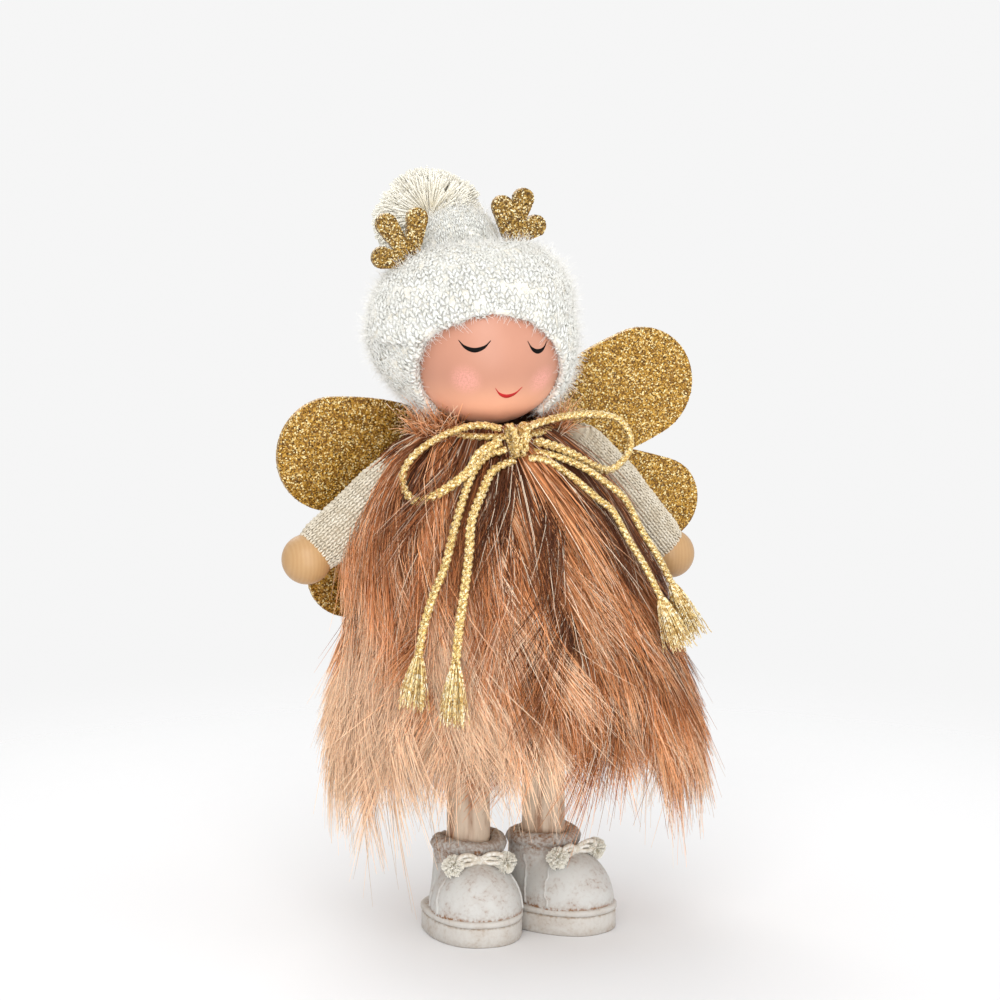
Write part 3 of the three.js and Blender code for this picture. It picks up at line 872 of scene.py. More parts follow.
    def thread(self, lines: Wire, place: Wire, width: Wire, tone: Wire, shade: Wire,
               sides: int = 3, caps: bool = False) -> Wire:
        """Lines set in their places as thin tubes.

        Args:
            lines: The lines.
            place: Where each of their points goes.
            width: The tubes' radius.
            tone: The tone of each strand, kept in the strand map.
            shade: The shade along it, kept in the strand map.
            sides: Points round a tube.
            caps: Whether its ends are closed.

        Returns:
            The tubes.
        """
        graph = self.graph
        curves = graph.node("GeometryNodeSetPosition", None, {"Geometry": lines, "Position": place})
        toned = self.store(curves, "tone", tone)
        shaded = self.store(toned, "shade", shade)
        ring = graph.node("GeometryNodeCurvePrimitiveCircle", None, {"Resolution": sides, "Radius": 1.0})
        inputs = {"Curve": shaded, "Profile Curve": ring, "Scale": width, "Fill Caps": caps}
        tubes = graph.node("GeometryNodeCurveToMesh", None, inputs)
        across = graph.part(graph.node("GeometryNodeInputNormal"))
        level = self.named("shade") * 0.96 + 0.02
        spot = graph.vector(self.named("tone") * 0.96 + 0.02 + across * 0.01, level, 0.0)
        mapped = self.store(tubes, STRAND_MAP, spot, "FLOAT2", "CORNER")
        return self.store(mapped, "OFBake", spot, "FLOAT2", "CORNER")


@dataclass(frozen=True)
class Pile:
    """The outer shape of the fur's pile, in millimetres along the dress from the collar down."""

    # Distance from the collar, radius there and height there.
    course: tuple[Point, ...] = (
        (0.0, 16.4, 165.8), (6.0, 21.8, 164.2), (12.0, 26.6, 160.8), (21.0, 33.6, 155.0),
        (37.0, 44.0, 141.0), (56.0, 51.6, 121.0), (76.0, 54.8, 101.0), (102.0, 61.0, 75.0),
        (119.0, 63.4, 58.0), (150.0, 63.0, 27.0),
    )
    span: float = 150.0
    widest: float = 80.0
    tallest: float = 200.0
    front_depth: float = 0.88
    low: float = 47.5
    high: float = 165.2
    low_axis: Pair = (1.565, 0.207)
    high_axis: Pair = (-7.435, 3.207)
    back_flat: float = 22.7
    flare_from: float = 100.0
    flare: float = 0.75
    # Where round the dress each arm is, and how far the fur beside it stands out.
    beside_arms: tuple[Pair, ...] = ((188.0, 5.0), (-14.0, -2.5))

    def point(self, gone: float, angle: float, depth: float) -> np.ndarray:
        """A point under the pile's surface, in metres.

        Args:
            gone: Way down from the collar in millimetres.
            angle: Way round in radians.
            depth: Depth under the surface in millimetres.

        Returns:
            The point in the frame.
        """
        places = [place for place, _, _ in self.course]
        radius = np.interp(gone, places, [wide for _, wide, _ in self.course]) - depth
        height = np.interp(gone, places, [high for _, _, high in self.course])
        share = (height - self.low) / (self.high - self.low)
        axis = np.array(self.low_axis) * (1 - share) + np.array(self.high_axis) * share
        reach = self.front_depth * radius
        if math.sin(angle) > 0:
            back = self.back_flat + max(0.0, self.flare_from - height) * self.flare - axis[1] - depth
            reach = min(reach, back)
        return np.array([axis[0] + radius * math.cos(angle), axis[1] + reach * math.sin(angle), height]) * MM

    def wired(self, graph: Graph, gone: Wire, angle: Wire, depth: Wire) -> tuple[Wire, Wire]:
        """The same point by nodes, with the pile pushed out or in beside the arms.

        Args:
            graph: The graph of the nodes.
            gone: Way down from the collar in millimetres.
            angle: Way round in radians.
            depth: Depth under the surface in millimetres.

        Returns:
            The point in the frame, and its height in millimetres.
        """
        curves = []
        for column, most in ((1, self.widest), (2, self.tallest)):
            settings = {"curve": [(stop[0] / self.span, stop[column] / most) for stop in self.course]}
            curves.append(graph.node("ShaderNodeFloatCurve", settings, {"Value": gone / self.span}) * most)
        radius, height = curves[0] - depth, curves[1]
        for arm, push in self.beside_arms:
            beside = (1.0 - (angle - math.radians(arm)).math("COSINE")).over(0.3, 0.02)
            radius = radius + beside * gone.over(4.0, 20.0) * gone.over(72.0, 40.0) * push
        climb = (height - self.low) / (self.high - self.low)
        axis_x, axis_y = [climb * (high - low) + low for low, high in zip(self.low_axis, self.high_axis)]
        side = angle.math("SINE")
        behind = (self.flare_from - height).math("MAXIMUM", 0.0) * self.flare
        behind = behind + self.back_flat - axis_y - depth
        front = radius * self.front_depth
        reach = front + (front.math("MINIMUM", behind) - front) * side.math("GREATER_THAN", 0.0)
        x = (axis_x + radius * angle.math("COSINE")) * MM
        return graph.vector(x, (axis_y + reach * side) * MM, height * MM), height


@dataclass
class FurDress:
    """The faux-fur dress: a backing cloth and the pile that hangs from it."""

    pile: Pile = field(default_factory=Pile)
    sectors: int = 6
    strands: int = 6300
    points: int = 5
    length: float = 51.0
    lowest_root: float = 94.0
    root_depth: float = 9.0
    backing_depth: float = 9.5
    backing_end: float = 108.0
    root_width: float = 0.16
    tip_width: float = 0.035
    clump: float = 8.0
    pull: float = 0.66
    wander: float = 0.38
    ruff_span: Pair = (222.0, -40.0)
    stuffed: Pair = (16.0, 106.0)
    stuffed_inset: float = 3.5
    # Mean radius of the backing, and the one at which the locks are laid out.
    backing_radius: float = 56.0
    lock_radius: float = 46.0
    # How roots crowd to the collar, how many wisps lie across a lock, and from which chance on strands stray.
    crowding: float = 0.72
    wisps: float = 2.6
    stray_from: float = 0.93
    # Heights between which the fur grows paler, and the ways round to where a painted light lies low down and
    # where a painted shade lies higher up.
    paler: Pair = (122.0, 52.0)
    sunny: float = 192.0
    dusky: float = -30.0

    def build(self) -> None:
        """Make the stuffed body, the backing and the pile."""
        self.stuffing()
        backing = self.backing()
        recipe = self.recipe()
        values = {
            "Strands": self.strands, "Points": self.points, "Length": self.length,
            "Root Depth": self.root_depth, "Root Width": self.root_width * MM,
            "Tip Width": self.tip_width * MM, "Clump": self.clump, "Pull": self.pull, "Wander": self.wander,
            "Sweep": 2 * math.pi / self.sectors,
        }
        for sector in range(self.sectors):
            values |= {"Start": 2 * math.pi * sector / self.sectors, "Seed": 11 + sector}
            carrier = bpy.data.meshes.new("fur carrier")
            recipe.piece(f"fur pile {sector + 1}", FUR, Body.TORSO, values, carrier)
        self.ruff()

    def backing(self) -> Object:
        """The cloth that the pile is knitted into."""
        rows, columns = 40, 72
        points = []
        for row in range(rows):
            gone = 2.0 + (self.backing_end - 2.0) * row / (rows - 1)
            depth = min(self.backing_depth, 2.5 + gone * 0.3)
            for column in range(columns):
                points.append(self.pile.point(gone, -2 * math.pi * column / columns, depth))
        mesh = mesh_of("fur backing", np.array(points), grid_faces(rows, columns))
        return dress_piece(link("fur backing", mesh), FUR_BACK, Body.TORSO, "fur_dress")

    def stuffing(self) -> None:
        """The stuffed body inside the dress."""
        inset = self.backing_depth + self.stuffed_inset
        rings = []
        for gone in np.linspace(self.stuffed[1], self.stuffed[0], 30):
            rings.append(np.array([self.pile.point(gone, turn, inset) for turn in round_angles(40)]))
        shape = Shape()
        shape.rings(rings)
        shape.piece("stuffed body", STUFFING, Body.TORSO, "body_core")

    def ruff(self) -> Object:
        """The fur that stands up beside and behind the neck."""
        columns = 32
        turns = np.radians(np.linspace(*self.ruff_span, columns))
        rings = []
        for gone, depth in ((2.0, 2.0), (5.0, 1.6), (8.0, 1.4), (12.0, 1.6)):
            rings.append([self.pile.point(gone, turn, depth) for turn in turns])
        faces = [face for face in grid_faces(len(rings), columns) if abs(face[1] - face[0]) == 1]
        carrier = mesh_of("ruff carrier", np.array(rings).reshape(-1, 3), faces)
        values = {
            "Density": 2.0e6, "Points": 5, "Length": 5.0 * MM, "Fibre Radius": self.root_width * MM,
            "Lean": 1.2, "Seed": 8,
        }
        return fuzz_recipe().piece("fur ruff", FUR, Body.TORSO, values, carrier)

    def recipe(self) -> Recipe:
        """Strands that leave the backing, follow the pile downwards and gather into locks."""
        recipe = Recipe("fur pile")
        graph = recipe.graph
        strands, count, seed = recipe.inputs("Int", "Strands", "Points", "Seed")
        start, sweep, length, root_depth = recipe.inputs("Float", "Start", "Sweep", "Length", "Root Depth")
        root_width, tip_width = recipe.inputs("Float", "Root Width", "Tip Width")
        clump, pull, wander = recipe.inputs("Float", "Clump", "Pull", "Wander")
        lines, strand, along = recipe.loose_strands(strands, count)
        girth = self.lock_radius

        def chance(number: int) -> Wire:
            """A number from 0 to 1 for each strand, one of several."""
            return recipe.random(0.0, 1.0, strand, seed * 17.0 + float(number))

        # Where the strand has its root, and the lock and the wisp that it belongs to.
        angle = start + sweep * chance(1)
        root = (chance(2) ** self.crowding) * self.lowest_root
        flat = graph.vector(angle * girth, root, 0.0)
        cell, wisp = [
            graph.node(
                "ShaderNodeTexVoronoi", {"voronoi_dimensions": "2D"},
                {"Vector": flat, "Scale": many / clump}, "Position",
            )
            for many in (1.0, self.wisps)
        ]
        centre = graph.part(cell)
        lock = graph.part(cell.other("Color"))
        # How it turns round the dress on its way.
        gather = along ** 1.2 * pull
        pinch = along * (1.0 - along * 0.4) * 0.6
        bend = graph.noise(flat, 0.05, 2.0) - 0.5
        stray = chance(3).over(self.stray_from, 1.0)
        turn = (centre / girth - angle) * gather + (graph.part(wisp) / girth - angle) * pinch
        turn = turn + wander * along ** 1.35 * (bend * 2.6 + (lock - 0.5) * 2.0)
        turn = turn + (chance(4) - 0.5) * 0.16 * along + (chance(5) - 0.5) * stray * 0.7 * along
        curl = (along * 4.0 + lock * 6.283 + chance(6) * 1.5).math("SINE") * 0.03 * along
        # How far down it reaches, and how deep in the pile it lies.
        ahead = (angle.math("SINE") * -1.0).math("MAXIMUM", 0.0)
        short = ahead * ahead * root.over(40.0, 94.0) * 0.24
        reach = length * (0.62 + chance(7) * 0.36 + chance(11).over(0.86, 1.0) * 0.3)
        reach = reach * (0.79 + lock.other("Y") * 0.42) * (1.0 - short)
        gone = root + reach * along + (centre.other("Y") - root) * gather * 0.35
        round_turn = angle + turn + curl
        first = (root * 0.3 + 1.2).math("MINIMUM", root_depth)
        last = chance(8) ** 1.4 * 5.0 + 1.2 + (lock.other("Z") - 0.5) * 8.0
        rise = along ** 0.75
        depth = first + (last - first) * rise - stray * chance(9) * along * along * 6.0
        place, height = self.pile.wired(graph, gone, round_turn, depth)
        width = root_width + (tip_width - root_width) * along * along
        # How pale it is, with a painted light low on one side and a painted shade high on the other.
        low = height.over(*self.paler)
        sunny = (angle - math.radians(self.sunny)).math("COSINE").over(0.35, 1.0) * height.over(116.0, 66.0)
        dusky = (angle - math.radians(self.dusky)).math("COSINE").over(0.1, 0.9) * (1.0 - low * 0.8)
        wisp_tone = graph.part(wisp.other("Color")) - 0.5
        shade = along * 0.4 + low * 0.3 + (lock - 0.5) * 0.9 + wisp_tone * 0.5
        shade = (shade + sunny * 1.1 - dusky * 0.5 + 0.18).held()
        return recipe.end(recipe.thread(lines, place, width, chance(10), shade))


# Gold cord


@dataclass
class GoldBow:
    """The braided cord round the neck, tied in a bow with four frayed tails."""

    diameter: float = 2.6
    ply: float = 0.74
    sway: float = 0.92
    dip: float = 0.5
    lay: float = 7.0
    knot: Point = (-4.5, -20.5, 162.0)
    ring: Point = (18.8, 19.6, 162.8)
    ring_centre: Pair = (-4.82, 2.94)
    step: float = 0.55
    tassel_threads: int = 120
    tassel_spread: float = 4.4
    tassel_crinkle: float = 0.09
    tassel_radius: float = 0.2

    LOOPS = {
        Side.RIGHT: (
            (-9, -17.6, 165.6), (-15, -15.5, 166.8), (-22, -13.5, 165.5), (-29.5, -11.5, 162),
            (-35.5, -11.5, 158), (-39, -12, 154), (-40.2, -13, 149.8), (-39.5, -15.5, 146.2),
            (-37.5, -18.5, 144.3), (-33.5, -22, 146.3), (-29, -24.5, 149.5), (-22.8, -25.3, 154.2),
            (-17.8, -22.4, 159.1), (-10.4, -21, 162.2),
        ),
        Side.LEFT: (
            (0, -17.5, 165.4), (5, -15.5, 166.4), (14, -13, 167.4), (22.4, -12, 167.6), (30.7, -12, 166.6),
            (35.1, -13, 163.9), (37.1, -14, 159.4), (36, -15.2, 155), (32.2, -16, 151.3), (27.5, -17.5, 150),
            (20.8, -20.4, 152.6), (15, -21.4, 156), (8.8, -21.4, 159.2), (1.4, -21.2, 161.6),
        ),
    }
    TAILS = {
        "right_outer": (
            (-9.3, -22.6, 159.6), (-14, -20.8, 158.2), (-18.8, -22.4, 155), (-23.6, -26, 149.5),
            (-30.2, -31.6, 137), (-34.4, -34.2, 126), (-38.4, -34.2, 117), (-41.4, -33.8, 107),
            (-43, -34, 98.5),
        ),
        "right_inner": (
            (-7, -23.2, 156.2), (-14.6, -25.4, 153.8), (-20, -29.8, 148.2), (-25.4, -34.2, 140),
            (-27.4, -37.2, 131), (-30, -40, 120), (-32.4, -41.2, 107.5), (-34, -42.4, 97),
        ),
        "left_inner": (
            (-1.6, -23.4, 156.6), (2.8, -23.8, 156), (8.4, -26, 152.8), (13.8, -28.8, 148.2),
            (18.4, -31, 143.7), (23, -32.4, 139.7), (27.2, -35, 131), (32.6, -36, 122), (38.6, -35.4, 111),
        ),
        "left_outer": (
            (1, -20.8, 158.2), (6.2, -21.8, 157), (12.2, -23.6, 154.8), (18, -25.8, 151.6),
            (23.8, -27.2, 147.2), (29.4, -28.4, 141.8), (33.6, -31, 132.6), (39.2, -31.8, 123.6),
            (44.8, -30.4, 114),
        ),
    }
    TIPS = {
        "right_outer": (-46.8, -37.4, 81.5),
        "right_inner": (-36.8, -46.5, 77),
        "left_inner": (45, -37, 93),
        "left_outer": (54, -28.5, 95),
    }

    # Shift aside, slant, half depth and half height of each turn of the knot.
    TURNS = ((-1.7, -0.25, 3.3, 4.3), (1.7, 0.25, 3.3, 4.3), (0.0, 0.9, 3.9, 3.4))

    def build(self) -> None:
        """Make the neck cord, the knot, the loops, the tails and the tassels."""
        braid = self.braid_recipe()
        tassel = self.tassel_recipe()
        self.neck(braid)
        knot = self.knot_pieces(braid)
        for side, points in self.LOOPS.items():
            path = smooth_path(metres(points), 36)
            piece = self.braided(braid, f"{side.word} loop plait", path, f"{side.word}_bow_loop")
        for place, points in self.TAILS.items():
            path = smooth_path(metres(points), 32)
            words = place.replace("_", " ")
            piece = self.braided(braid, f"{words} tail plait", path, f"{place}_tail")
            tip = metres([self.TIPS[place]])[0]
            fringe = self.fringe(tassel, f"{words} tassel fringe", path[-1], tip, f"{place}_tassel")

    def braid_recipe(self) -> Recipe:
        """Three plies plaited along a line."""
        recipe = Recipe("plaited cord")
        graph = recipe.graph
        radius, sway, dip, lay = recipe.inputs("Float", "Ply Radius", "Sway", "Dip", "Lay")
        line = graph.node("GeometryNodeMeshToCurve", None, {"Mesh": recipe.carrier})
        gone = graph.node("GeometryNodeSplineParameter", None, None, "Length")
        normal = graph.node("GeometryNodeInputNormal")
        tangent = graph.node("GeometryNodeInputTangent")
        across = graph.vectors("CROSS_PRODUCT", tangent, normal)
        ring = graph.node("GeometryNodeCurvePrimitiveCircle", None, {"Resolution": 7, "Radius": 1.0})
        joined = graph.tree.nodes.new("GeometryNodeJoinGeometry")
        for ply in range(3):
            phase = gone / lay * (2 * math.pi) + ply * 2 * math.pi / 3
            out = graph.scaled(normal, phase.math("SINE") * sway)
            lift = graph.scaled(across, (phase * 2.0).math("SINE") * dip)
            inputs = {"Geometry": line, "Offset": graph.vectors("ADD", out, lift)}
            moved = graph.node("GeometryNodeSetPosition", None, inputs)
            inputs = {"Curve": moved, "Profile Curve": ring, "Scale": radius, "Fill Caps": True}
            tube = graph.node("GeometryNodeCurveToMesh", None, inputs)
            graph.tree.links.new(tube.socket, joined.inputs[0])
        return recipe.end(Wire(graph, joined.outputs[0]))

    def braided(
        self, recipe: Recipe, name: str, path: np.ndarray, node: str, closed: bool = False
    ) -> Object:
        """A plaited piece along a path.

        Args:
            recipe: The braid's recipe.
            name: Name of the piece.
            path: The points that it follows, in metres.
            node: The CAD node that it stands for, or nothing.
            closed: Whether it comes back to its start.

        Returns:
            The piece.
        """
        steps = max(24, int(path_length(path) / (self.step * MM)))
        fine = smooth_path(path, steps, closed)
        carrier = bpy.data.meshes.new(name)
        edges = [(number, number + 1) for number in range(steps - 1)]
        if closed:
            edges.append((steps - 1, 0))
        carrier.from_pydata([tuple(point) for point in fine], edges, [])
        values = {
            "Ply Radius": self.ply * MM, "Sway": self.sway * MM, "Dip": self.dip * MM, "Lay": self.lay * MM,
        }
        return recipe.piece(name, GOLD, Body.TORSO, values, carrier, [node] if node else [])

    def neck(self, braid: Recipe) -> None:
        """The cord round the collar."""
        (x, y), (wide, deep, height) = self.ring_centre, self.ring
        points = [(x + wide * math.cos(a), y + deep * math.sin(a), height) for a in round_angles(40)]
        self.braided(braid, "neck plait", metres(points), "neck_cord", True)

    def knot_pieces(self, braid: Recipe) -> list[Object]:
        """Two turns of cord over the crossing, and a slanting one between them.

        Args:
            braid: The braid's recipe.

        Returns:
            The three turns.
        """
        centre = metres([self.knot])[0]
        node = "bow_knot"
        turns = []
        for number, (shift, slant, deep, tall) in enumerate(self.TURNS, 1):
            points = []
            for angle in round_angles(16):
                up = tall * math.sin(angle)
                points.append(centre + np.array([shift + slant * up * 0.5, -deep * math.cos(angle), up]) * MM)
            turns.append(self.braided(braid, f"bow knot turn {number}", np.array(points), node, True))
            node = ""
        return turns

    def tassel_recipe(self) -> Recipe:
        """Crinkled threads that spread from a cord's end."""
        recipe = Recipe("frayed tassel")
        graph = recipe.graph
        threads, count, seed = recipe.inputs("Int", "Threads", "Points", "Seed")
        begin, course = recipe.inputs("Vector", "Begin", "Course")
        spread, crinkle, radius = recipe.inputs("Float", "Spread", "Crinkle", "Thread Radius")
        lines, strand, along = recipe.loose_strands(threads, count)
        aside = recipe.random_vector(strand, seed)
        down = graph.vectors("NORMALIZE", course)
        lengthways = graph.vectors("DOT_PRODUCT", aside, down, out="Value")
        aside = graph.vectors("SUBTRACT", aside, graph.scaled(down, lengthways))
        reach = along * recipe.random(0.6, 0.98, strand, seed + 5.0)
        straight = graph.scaled(course, reach)
        fan = graph.scaled(aside, spread * (reach ** 0.8 * 0.8 + 0.2))
        phase = along * 26.0 + recipe.random(0.0, 6.28, strand, seed + 9.0)
        kink = graph.vector(phase.math("SINE"), (phase * 0.83).math("COSINE"), (phase * 1.2).math("SINE"))
        place = graph.total(begin, straight, fan, graph.scaled(kink, crinkle * along.over(0.0, 0.3)))
        tone = recipe.random(0.0, 1.0, strand, seed + 3.0)
        return recipe.end(recipe.thread(lines, place, radius * (1.0 - along * 0.3), tone, along, 4))

    def fringe(
        self, recipe: Recipe, name: str, begin: np.ndarray, tip: np.ndarray, node: str
    ) -> Object:
        """The frayed end of a tail.

        Args:
            recipe: The tassel's recipe.
            name: Name of the piece.
            begin: The tail's end, in metres.
            tip: The tassel's own end, in metres.
            node: The CAD node that it stands for.

        Returns:
            The piece.
        """
        values = {
            "Threads": self.tassel_threads, "Points": 22, "Begin": tuple(begin), "Course": tuple(tip - begin),
            "Spread": self.tassel_spread * MM, "Crinkle": self.tassel_crinkle * MM,
            "Thread Radius": self.tassel_radius * MM, "Seed": 40 + len(name),
        }
        return recipe.piece(name, LOOSE_GOLD, Body.TORSO, values, nodes=[node])


# Head


@dataclass
class Head:
    """The painted ball head with its closed eyes, smile and blush."""

    centre: Point = (-5.7, 3.0, 190.3)
    radius: float = 26.2
    cheeks: tuple[Pair, ...] = ((-37.0, -20.0), (24.7, -22.7))
    eyes: tuple[tuple[Pair, ...], ...] = (
        ((-41.0, 8.4), (-36.4, 4.0), (-29.7, 2.0), (-23.0, 4.0), (-18.4, 8.6)),
        ((8.3, 7.2), (11.6, 1.8), (16.6, -0.5), (21.6, 1.0), (24.9, 5.5)),
    )
    mouth: tuple[Pair, ...] = (
        (-14.6, -26.0), (-10.6, -31.0), (-4.4, -33.2), (2.2, -31.2), (6.9, -26.0),
    )

    def spot(self, azimuth: float, elevation: float, lift: float = 0.0) -> np.ndarray:
        """A point on the ball, in metres, by its turn from the front and its height in degrees."""
        turn = math.radians(azimuth)
        rise = math.radians(elevation)
        way = np.array([math.sin(turn) * math.cos(rise), -math.cos(turn) * math.cos(rise), math.sin(rise)])
        return metres([np.array(self.centre) + way * (self.radius + lift)])[0]

    def build(self) -> None:
        """Make the ball and the painted features."""
        shape = Shape()
        shape.ball(metres([self.centre])[0], self.radius * MM, 48, 72)
        finish = FaceFinish(
            "painted face", "painted_skin", 0.42,
            centre=tuple(metres([self.centre])[0]),
            cheeks=tuple(tuple(self.spot(*cheek)) for cheek in self.cheeks),
        )
        shape.piece("painted head", finish, Body.HEAD, "head_ball")
        for number, eye in enumerate(self.eyes):
            self.stroke(f"closed eye {number + 1}", eye, 0.74, EYE_PAINT)
        self.stroke("smile", self.mouth, 0.75, MOUTH_PAINT)

    def stroke(self, name: str, line: Sequence[Pair], width: float, finish: Finish) -> None:
        """A raised brush stroke that is thickest in its middle.

        Args:
            name: Name of the piece.
            line: Turn and height in degrees of the points that it passes.
            width: Half its width in its middle, in millimetres.
            finish: Its paint.
        """
        course = smooth_path([(a, e, 0.0) for a, e in line], 26)
        rings = []
        for number, (azimuth, elevation, _) in enumerate(course):
            part = number / (len(course) - 1)
            half = math.degrees(width / self.radius) * (0.18 + 0.82 * math.sin(math.pi * part))
            ring = []
            for turn in round_angles(8):
                lift = math.sin(turn) * (0.16 if math.sin(turn) > 0 else 0.3)
                ring.append(self.spot(azimuth, elevation + half * math.cos(turn), lift))
            rings.append(np.array(ring))
        shape = Shape()
        shape.rings(rings[::-1])
        shape.piece(name, finish, Body.HEAD)


class KnitStitches:
    """Knitted loops laid on a grid of points."""

    def __init__(self) -> None:
        self.recipe = self.make()

    @staticmethod
    def stitch() -> Object:
        """One knit stitch, two legs that meet below, one unit wide and high."""
        shape = Shape()
        for hand in (-1, 1):
            path = [(hand * 0.07, -0.62, 0.0), (hand * 0.30, -0.1, 0.34), (hand * 0.40, 0.45, 0.08)]
            shape.tube(np.array(path), (0.17, 0.25, 0.19), 4)
        return link("knit stitch", shape.mesh("knit stitch"))

    def make(self) -> Recipe:
        """The recipe that lays a stitch on each point of a carrier."""
        recipe = Recipe("knit stitches")
        graph = recipe.graph
        (stitch,) = recipe.inputs("Object", "Stitch")
        (jitter,) = recipe.inputs("Float", "Jitter")
        (seed,) = recipe.inputs("Int", "Seed")
        index = graph.node("GeometryNodeInputIndex")
        outwards = recipe.named("outwards", "FLOAT_VECTOR")
        along = recipe.named("along", "FLOAT_VECTOR")
        pitch = recipe.named("pitch", "FLOAT_VECTOR")
        facing = graph.node("FunctionNodeAlignRotationToVector", {"axis": "Z"}, {"Vector": outwards})
        inputs = {"Rotation": facing, "Vector": along}
        turned = graph.node("FunctionNodeAlignRotationToVector", {"axis": "Y", "pivot_axis": "Z"}, inputs)
        shift = graph.scaled(recipe.random_vector(index, seed), jitter)
        moved = graph.node("GeometryNodeSetPosition", None, {"Geometry": recipe.carrier, "Offset": shift})
        size = graph.scaled(pitch, recipe.random(0.88, 1.14, index, seed + 3.0))
        shown = graph.node("GeometryNodeObjectInfo", None, {"Object": stitch}, "Geometry")
        inputs = {"Points": moved, "Instance": shown, "Rotation": turned, "Scale": size}
        return recipe.end(graph.node("GeometryNodeInstanceOnPoints", None, inputs))

    def lay(self, name: str, grid: np.ndarray, outwards: np.ndarray, finish: Finish, body: Body,
            jitter: float, depth: float, fill: float, narrowest: float = 1.4) -> None:
        """Knit over a grid of points.

        Args:
            name: Name of the piece.
            grid: Points by row and column, in metres; each row runs once round.
            outwards: The way out at each of them.
            finish: Its finish.
            body: The body that it moves with.
            jitter: How far stitches stray, in millimetres.
            depth: How far stitches stand out, in widths of a stitch.
            fill: How much of its column a stitch fills.
            narrowest: Stitches narrower than this are left out, in millimetres.
        """
        across = np.linalg.norm(np.roll(grid, -1, axis=1) - np.roll(grid, 1, axis=1), axis=2) / 2
        along = np.gradient(grid, axis=0)
        high = np.linalg.norm(along, axis=2)
        keep = (across > narrowest * MM).ravel()
        carrier = bpy.data.meshes.new(name)
        carrier.from_pydata([tuple(point) for point in grid.reshape(-1, 3)[keep]], [], [])
        pitch = np.stack([across * fill, high * 1.16, (across + high) * 0.5 * depth], axis=2)
        for key, value in (("outwards", outwards), ("along", -along), ("pitch", pitch)):
            kept = value.reshape(-1, 3)[keep]
            carrier.attributes.new(key, "FLOAT_VECTOR", "POINT").data.foreach_set("vector", kept.ravel())
        stitch = self.stitch()
        values = {"Stitch": stitch, "Jitter": jitter * MM, "Seed": 5}
        self.recipe.piece(name, finish, body, values, carrier)
        bpy.data.objects.remove(stitch)


def fuzz_recipe() -> Recipe:
    """Short fibres that stand off a surface."""
    recipe = Recipe("wool fuzz")
    graph = recipe.graph
    density, length, radius, lean = recipe.inputs("Float", "Density", "Length", "Fibre Radius", "Lean")
    count, seed = recipe.inputs("Int", "Points", "Seed")
    inputs = {"Mesh": recipe.carrier, "Density": density, "Seed": seed}
    roots = graph.node("GeometryNodeDistributePointsOnFaces", None, inputs)
    rooted = recipe.store(roots, "root", graph.node("GeometryNodeInputPosition"), "FLOAT_VECTOR")
    grown = recipe.store(rooted, "outwards", roots.other("Normal"), "FLOAT_VECTOR")
    lines, strand, along = recipe.strands(grown, count)
    aside = recipe.random_vector(strand, seed + 2.0)
    size = length * recipe.random(0.4, 1.2, strand, seed + 4.0)
    up = graph.scaled(recipe.named("outwards", "FLOAT_VECTOR"), size * along)
    over = graph.scaled(aside, size * lean * along * along)
    place = graph.total(recipe.named("root", "FLOAT_VECTOR"), up, over)
    tone = recipe.random(0.0, 1.0, strand, seed + 6.0)
    return recipe.end(recipe.thread(lines, place, radius * (1.0 - along * 0.6), tone, along))


def tuft_recipe() -> Recipe:
    """Cut yarn ends that stand out from a middle in tufts."""
    recipe = Recipe("yarn ball")
    graph = recipe.graph
    threads, count, seed = recipe.inputs("Int", "Threads", "Points", "Seed")
    centre, facing = recipe.inputs("Vector", "Centre", "Facing")
    inner, outer = recipe.inputs("Float", "Inner Radius", "Outer Radius")
    radius, tufts = recipe.inputs("Float", "Thread Radius", "Tufts")
    lines, strand, along = recipe.loose_strands(threads, count)
    height = recipe.random(-1.0, 1.0, strand, seed)
    turn = recipe.random(0.0, 2 * math.pi, strand, seed + 1.0)
    wide = (1.0 - height * height).math("SQRT")
    way = graph.vector(wide * turn.math("COSINE"), wide * turn.math("SINE"), height)
    cell = graph.node("ShaderNodeTexVoronoi", None, {"Vector": way, "Scale": tufts}, "Position")
    lock = graph.part(cell.other("Color"))
    apart = cell.other("Distance")
    gathered = graph.vectors("SUBTRACT", cell, way)
    ahead = graph.vectors("DOT_PRODUCT", way, facing, out="Value")
    flat = graph.vectors("SUBTRACT", way, graph.scaled(facing, ahead))
    fan = graph.scaled(graph.vectors("NORMALIZE", flat), ahead * ahead * along * along * 0.55)
    sway = graph.scaled(recipe.random_vector(strand, seed + 2.0), along * along * 0.15)
    leaning = graph.total(way, graph.scaled(gathered, along * 0.42), sway, fan)
    end = outer * (0.94 + lock * 0.1 - apart * 0.2) * recipe.random(0.94, 1.03, strand, seed + 3.0)
    end = end * (1.0 - (ahead * ahead) * recipe.random(0.0, 0.34, strand, seed + 5.0))
    reach = inner + (end - inner) * along
    place = graph.vectors("ADD", centre, graph.scaled(graph.vectors("NORMALIZE", leaning), reach))
    width = radius * (0.7 + along * 0.4)
    tone = recipe.random(0.0, 1.0, strand, seed + 4.0)
    # Painted shade: the yarn is darker towards the middle and at the edges of each tuft.
    shade = (along * 0.9 - apart * 0.55 + 0.25).held()
    return recipe.end(recipe.thread(lines, place, width, tone, shade, caps=True))


